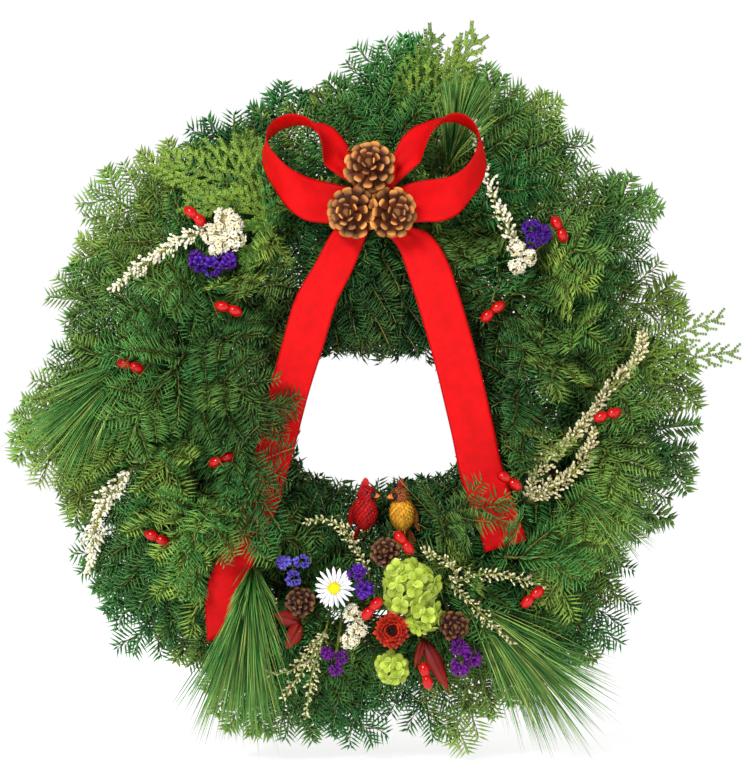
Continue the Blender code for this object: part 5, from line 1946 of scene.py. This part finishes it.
def front_sprays(pieces):
    """The sprays that lie over the front and round the hole."""
    for via, tip in FIR_FRONT:
        free_view = via in OVER_RIBBON
        via = Vector(via)
        number, angle = bunch_of(math.atan2(via.x, via.z))
        age = random.random() ** 2 * 0.4
        fir_spray(pieces[number], root_at(angle), via, Vector(tip), age, free_view)


def filling_sprays(pieces, count, kind, span, depth):
    """Sprays all round the ring, which fill what the others leave open."""
    for k in range(count):
        tip_angle = 2 * math.pi * (k + random.uniform(0.1, 0.9)) / count - math.pi
        y = random.uniform(*depth)
        share = random.uniform(*span)
        if kind == "outer":
            radius = outline_radius(tip_angle) * share
            aside, forward = 26, 9
        elif kind == "middle":
            radius = RING_RADIUS + share
            aside, forward = share * 0.4, 30
        elif kind == "ring":
            radius = RING_RADIUS + share
            aside, forward = share * 0.3, 2
        else:
            radius = hole_radius(tip_angle) + share
            aside, forward = -26, 6
        tip = on_ring(tip_angle, radius, y)
        root_angle = tip_angle * random.uniform(0.84, 0.93)
        if kind == "ring":
            root_angle = tip_angle - math.copysign(random.uniform(0.45, 0.8), tip_angle)
        number, angle = bunch_of(root_angle)
        foot = on_ring(angle, RING_RADIUS + aside, -30)
        via = foot.lerp(tip, 0.35) + FORWARD * forward
        age = random.random() ** 3 * 0.8
        fir_spray(pieces[number], root_at(angle), via, tip, age)


def make_firs():
    """Six bunches of fir, bound one after another round the ring."""
    pieces = [Growth(f"fir_sprays_{k + 1}") for k in range(BUNCHES)]
    for number, piece in enumerate(pieces):
        bound_stems(piece, number)
    outer_sprays(pieces)
    front_sprays(pieces)
    for layer in LAYERS:
        filling_sprays(pieces, *layer)
    for number, piece in enumerate(pieces):
        piece.finish([f"fir_bunch_{number + 1}"], "fir")


# The whole wreath

make_ring()
make_bow()
make_cones()
make_hydrangeas()
make_daisy()
make_strawflower()
make_everlastings()
make_statice()
make_white_sprays()
make_plumes()
make_heather()
make_red_leaves()
make_berries()
make_bird("bird_red", (-8, -62, -92), 1, RED_FEATHER, RED_FEATHER, RED_FEATHER)
make_bird("bird_yellow", (25, -62, -93), -1, BROWN_FEATHER, YELLOW_FEATHER, RED_FEATHER)
make_pines()
make_cedars()
make_firs()


# Floor, light and camera


FLOOR_DROP = 0.004
ROOM_LIGHT = 0.42
LENS = 123.6
# Place, power and size of each light
LIGHTS = (
    ("key_light", (-1.0, -2.2, 1.1), 56.0, 0.7),
    ("fill_light", (1.8, -1.8, 0.3), 8.0, 1.5),
)


def make_floor():
    """A pale floor under the wreath."""
    bpy.ops.object.select_all(action="DESELECT")
    bpy.ops.mesh.primitive_plane_add(size=12, location=(0, 0, CAD_BOX[0][2] - FLOOR_DROP))
    floor = settled()
    floor.name = "floor"
    floor.data.materials.append(pale_paper())


def make_lights():
    """A strong light from the upper left and a weak one from the right."""
    middle = Vector((0, 0, -CENTRE_DROP * MM))
    for name, at, power, size in LIGHTS:
        lamp = bpy.data.lights.new(name, "AREA")
        lamp.energy = power
        lamp.size = size
        made = bpy.data.objects.new(name, lamp)
        made.location = at
        made.rotation_euler = (middle - Vector(at)).to_track_quat("-Z", "Y").to_euler()
        bpy.context.scene.collection.objects.link(made)


def make_room():
    """A white room that the camera sees bright and that gives less light than that."""
    world = bpy.data.worlds.new("white_room")
    world.use_nodes = True
    room = world.node_tree
    backdrop = room.nodes["Background"]
    backdrop.inputs["Color"].default_value = (1, 1, 1, 1)
    seen = node(room, "LightPath")
    strength = node(room, "MapRange", To_Min=ROOM_LIGHT, To_Max=1.0)
    join(
        room,
        (seen, "Is Camera Ray", strength, "Value"),
        (strength, "Result", backdrop, "Strength"),
    )
    bpy.context.scene.world = world
    bpy.context.scene.view_settings.view_transform = "Standard"


def make_camera():
    """Straight from the front, as the photo was taken."""
    lens = bpy.data.cameras.new("camera")
    lens.lens = LENS
    camera = bpy.data.objects.new("camera", lens)
    camera.location = (CAMERA - UP * CENTRE_DROP) * MM
    camera.rotation_euler = (math.pi / 2, 0, 0)
    bpy.context.scene.collection.objects.link(camera)
    bpy.context.scene.camera = camera


make_floor()
make_lights()
make_room()
make_camera()
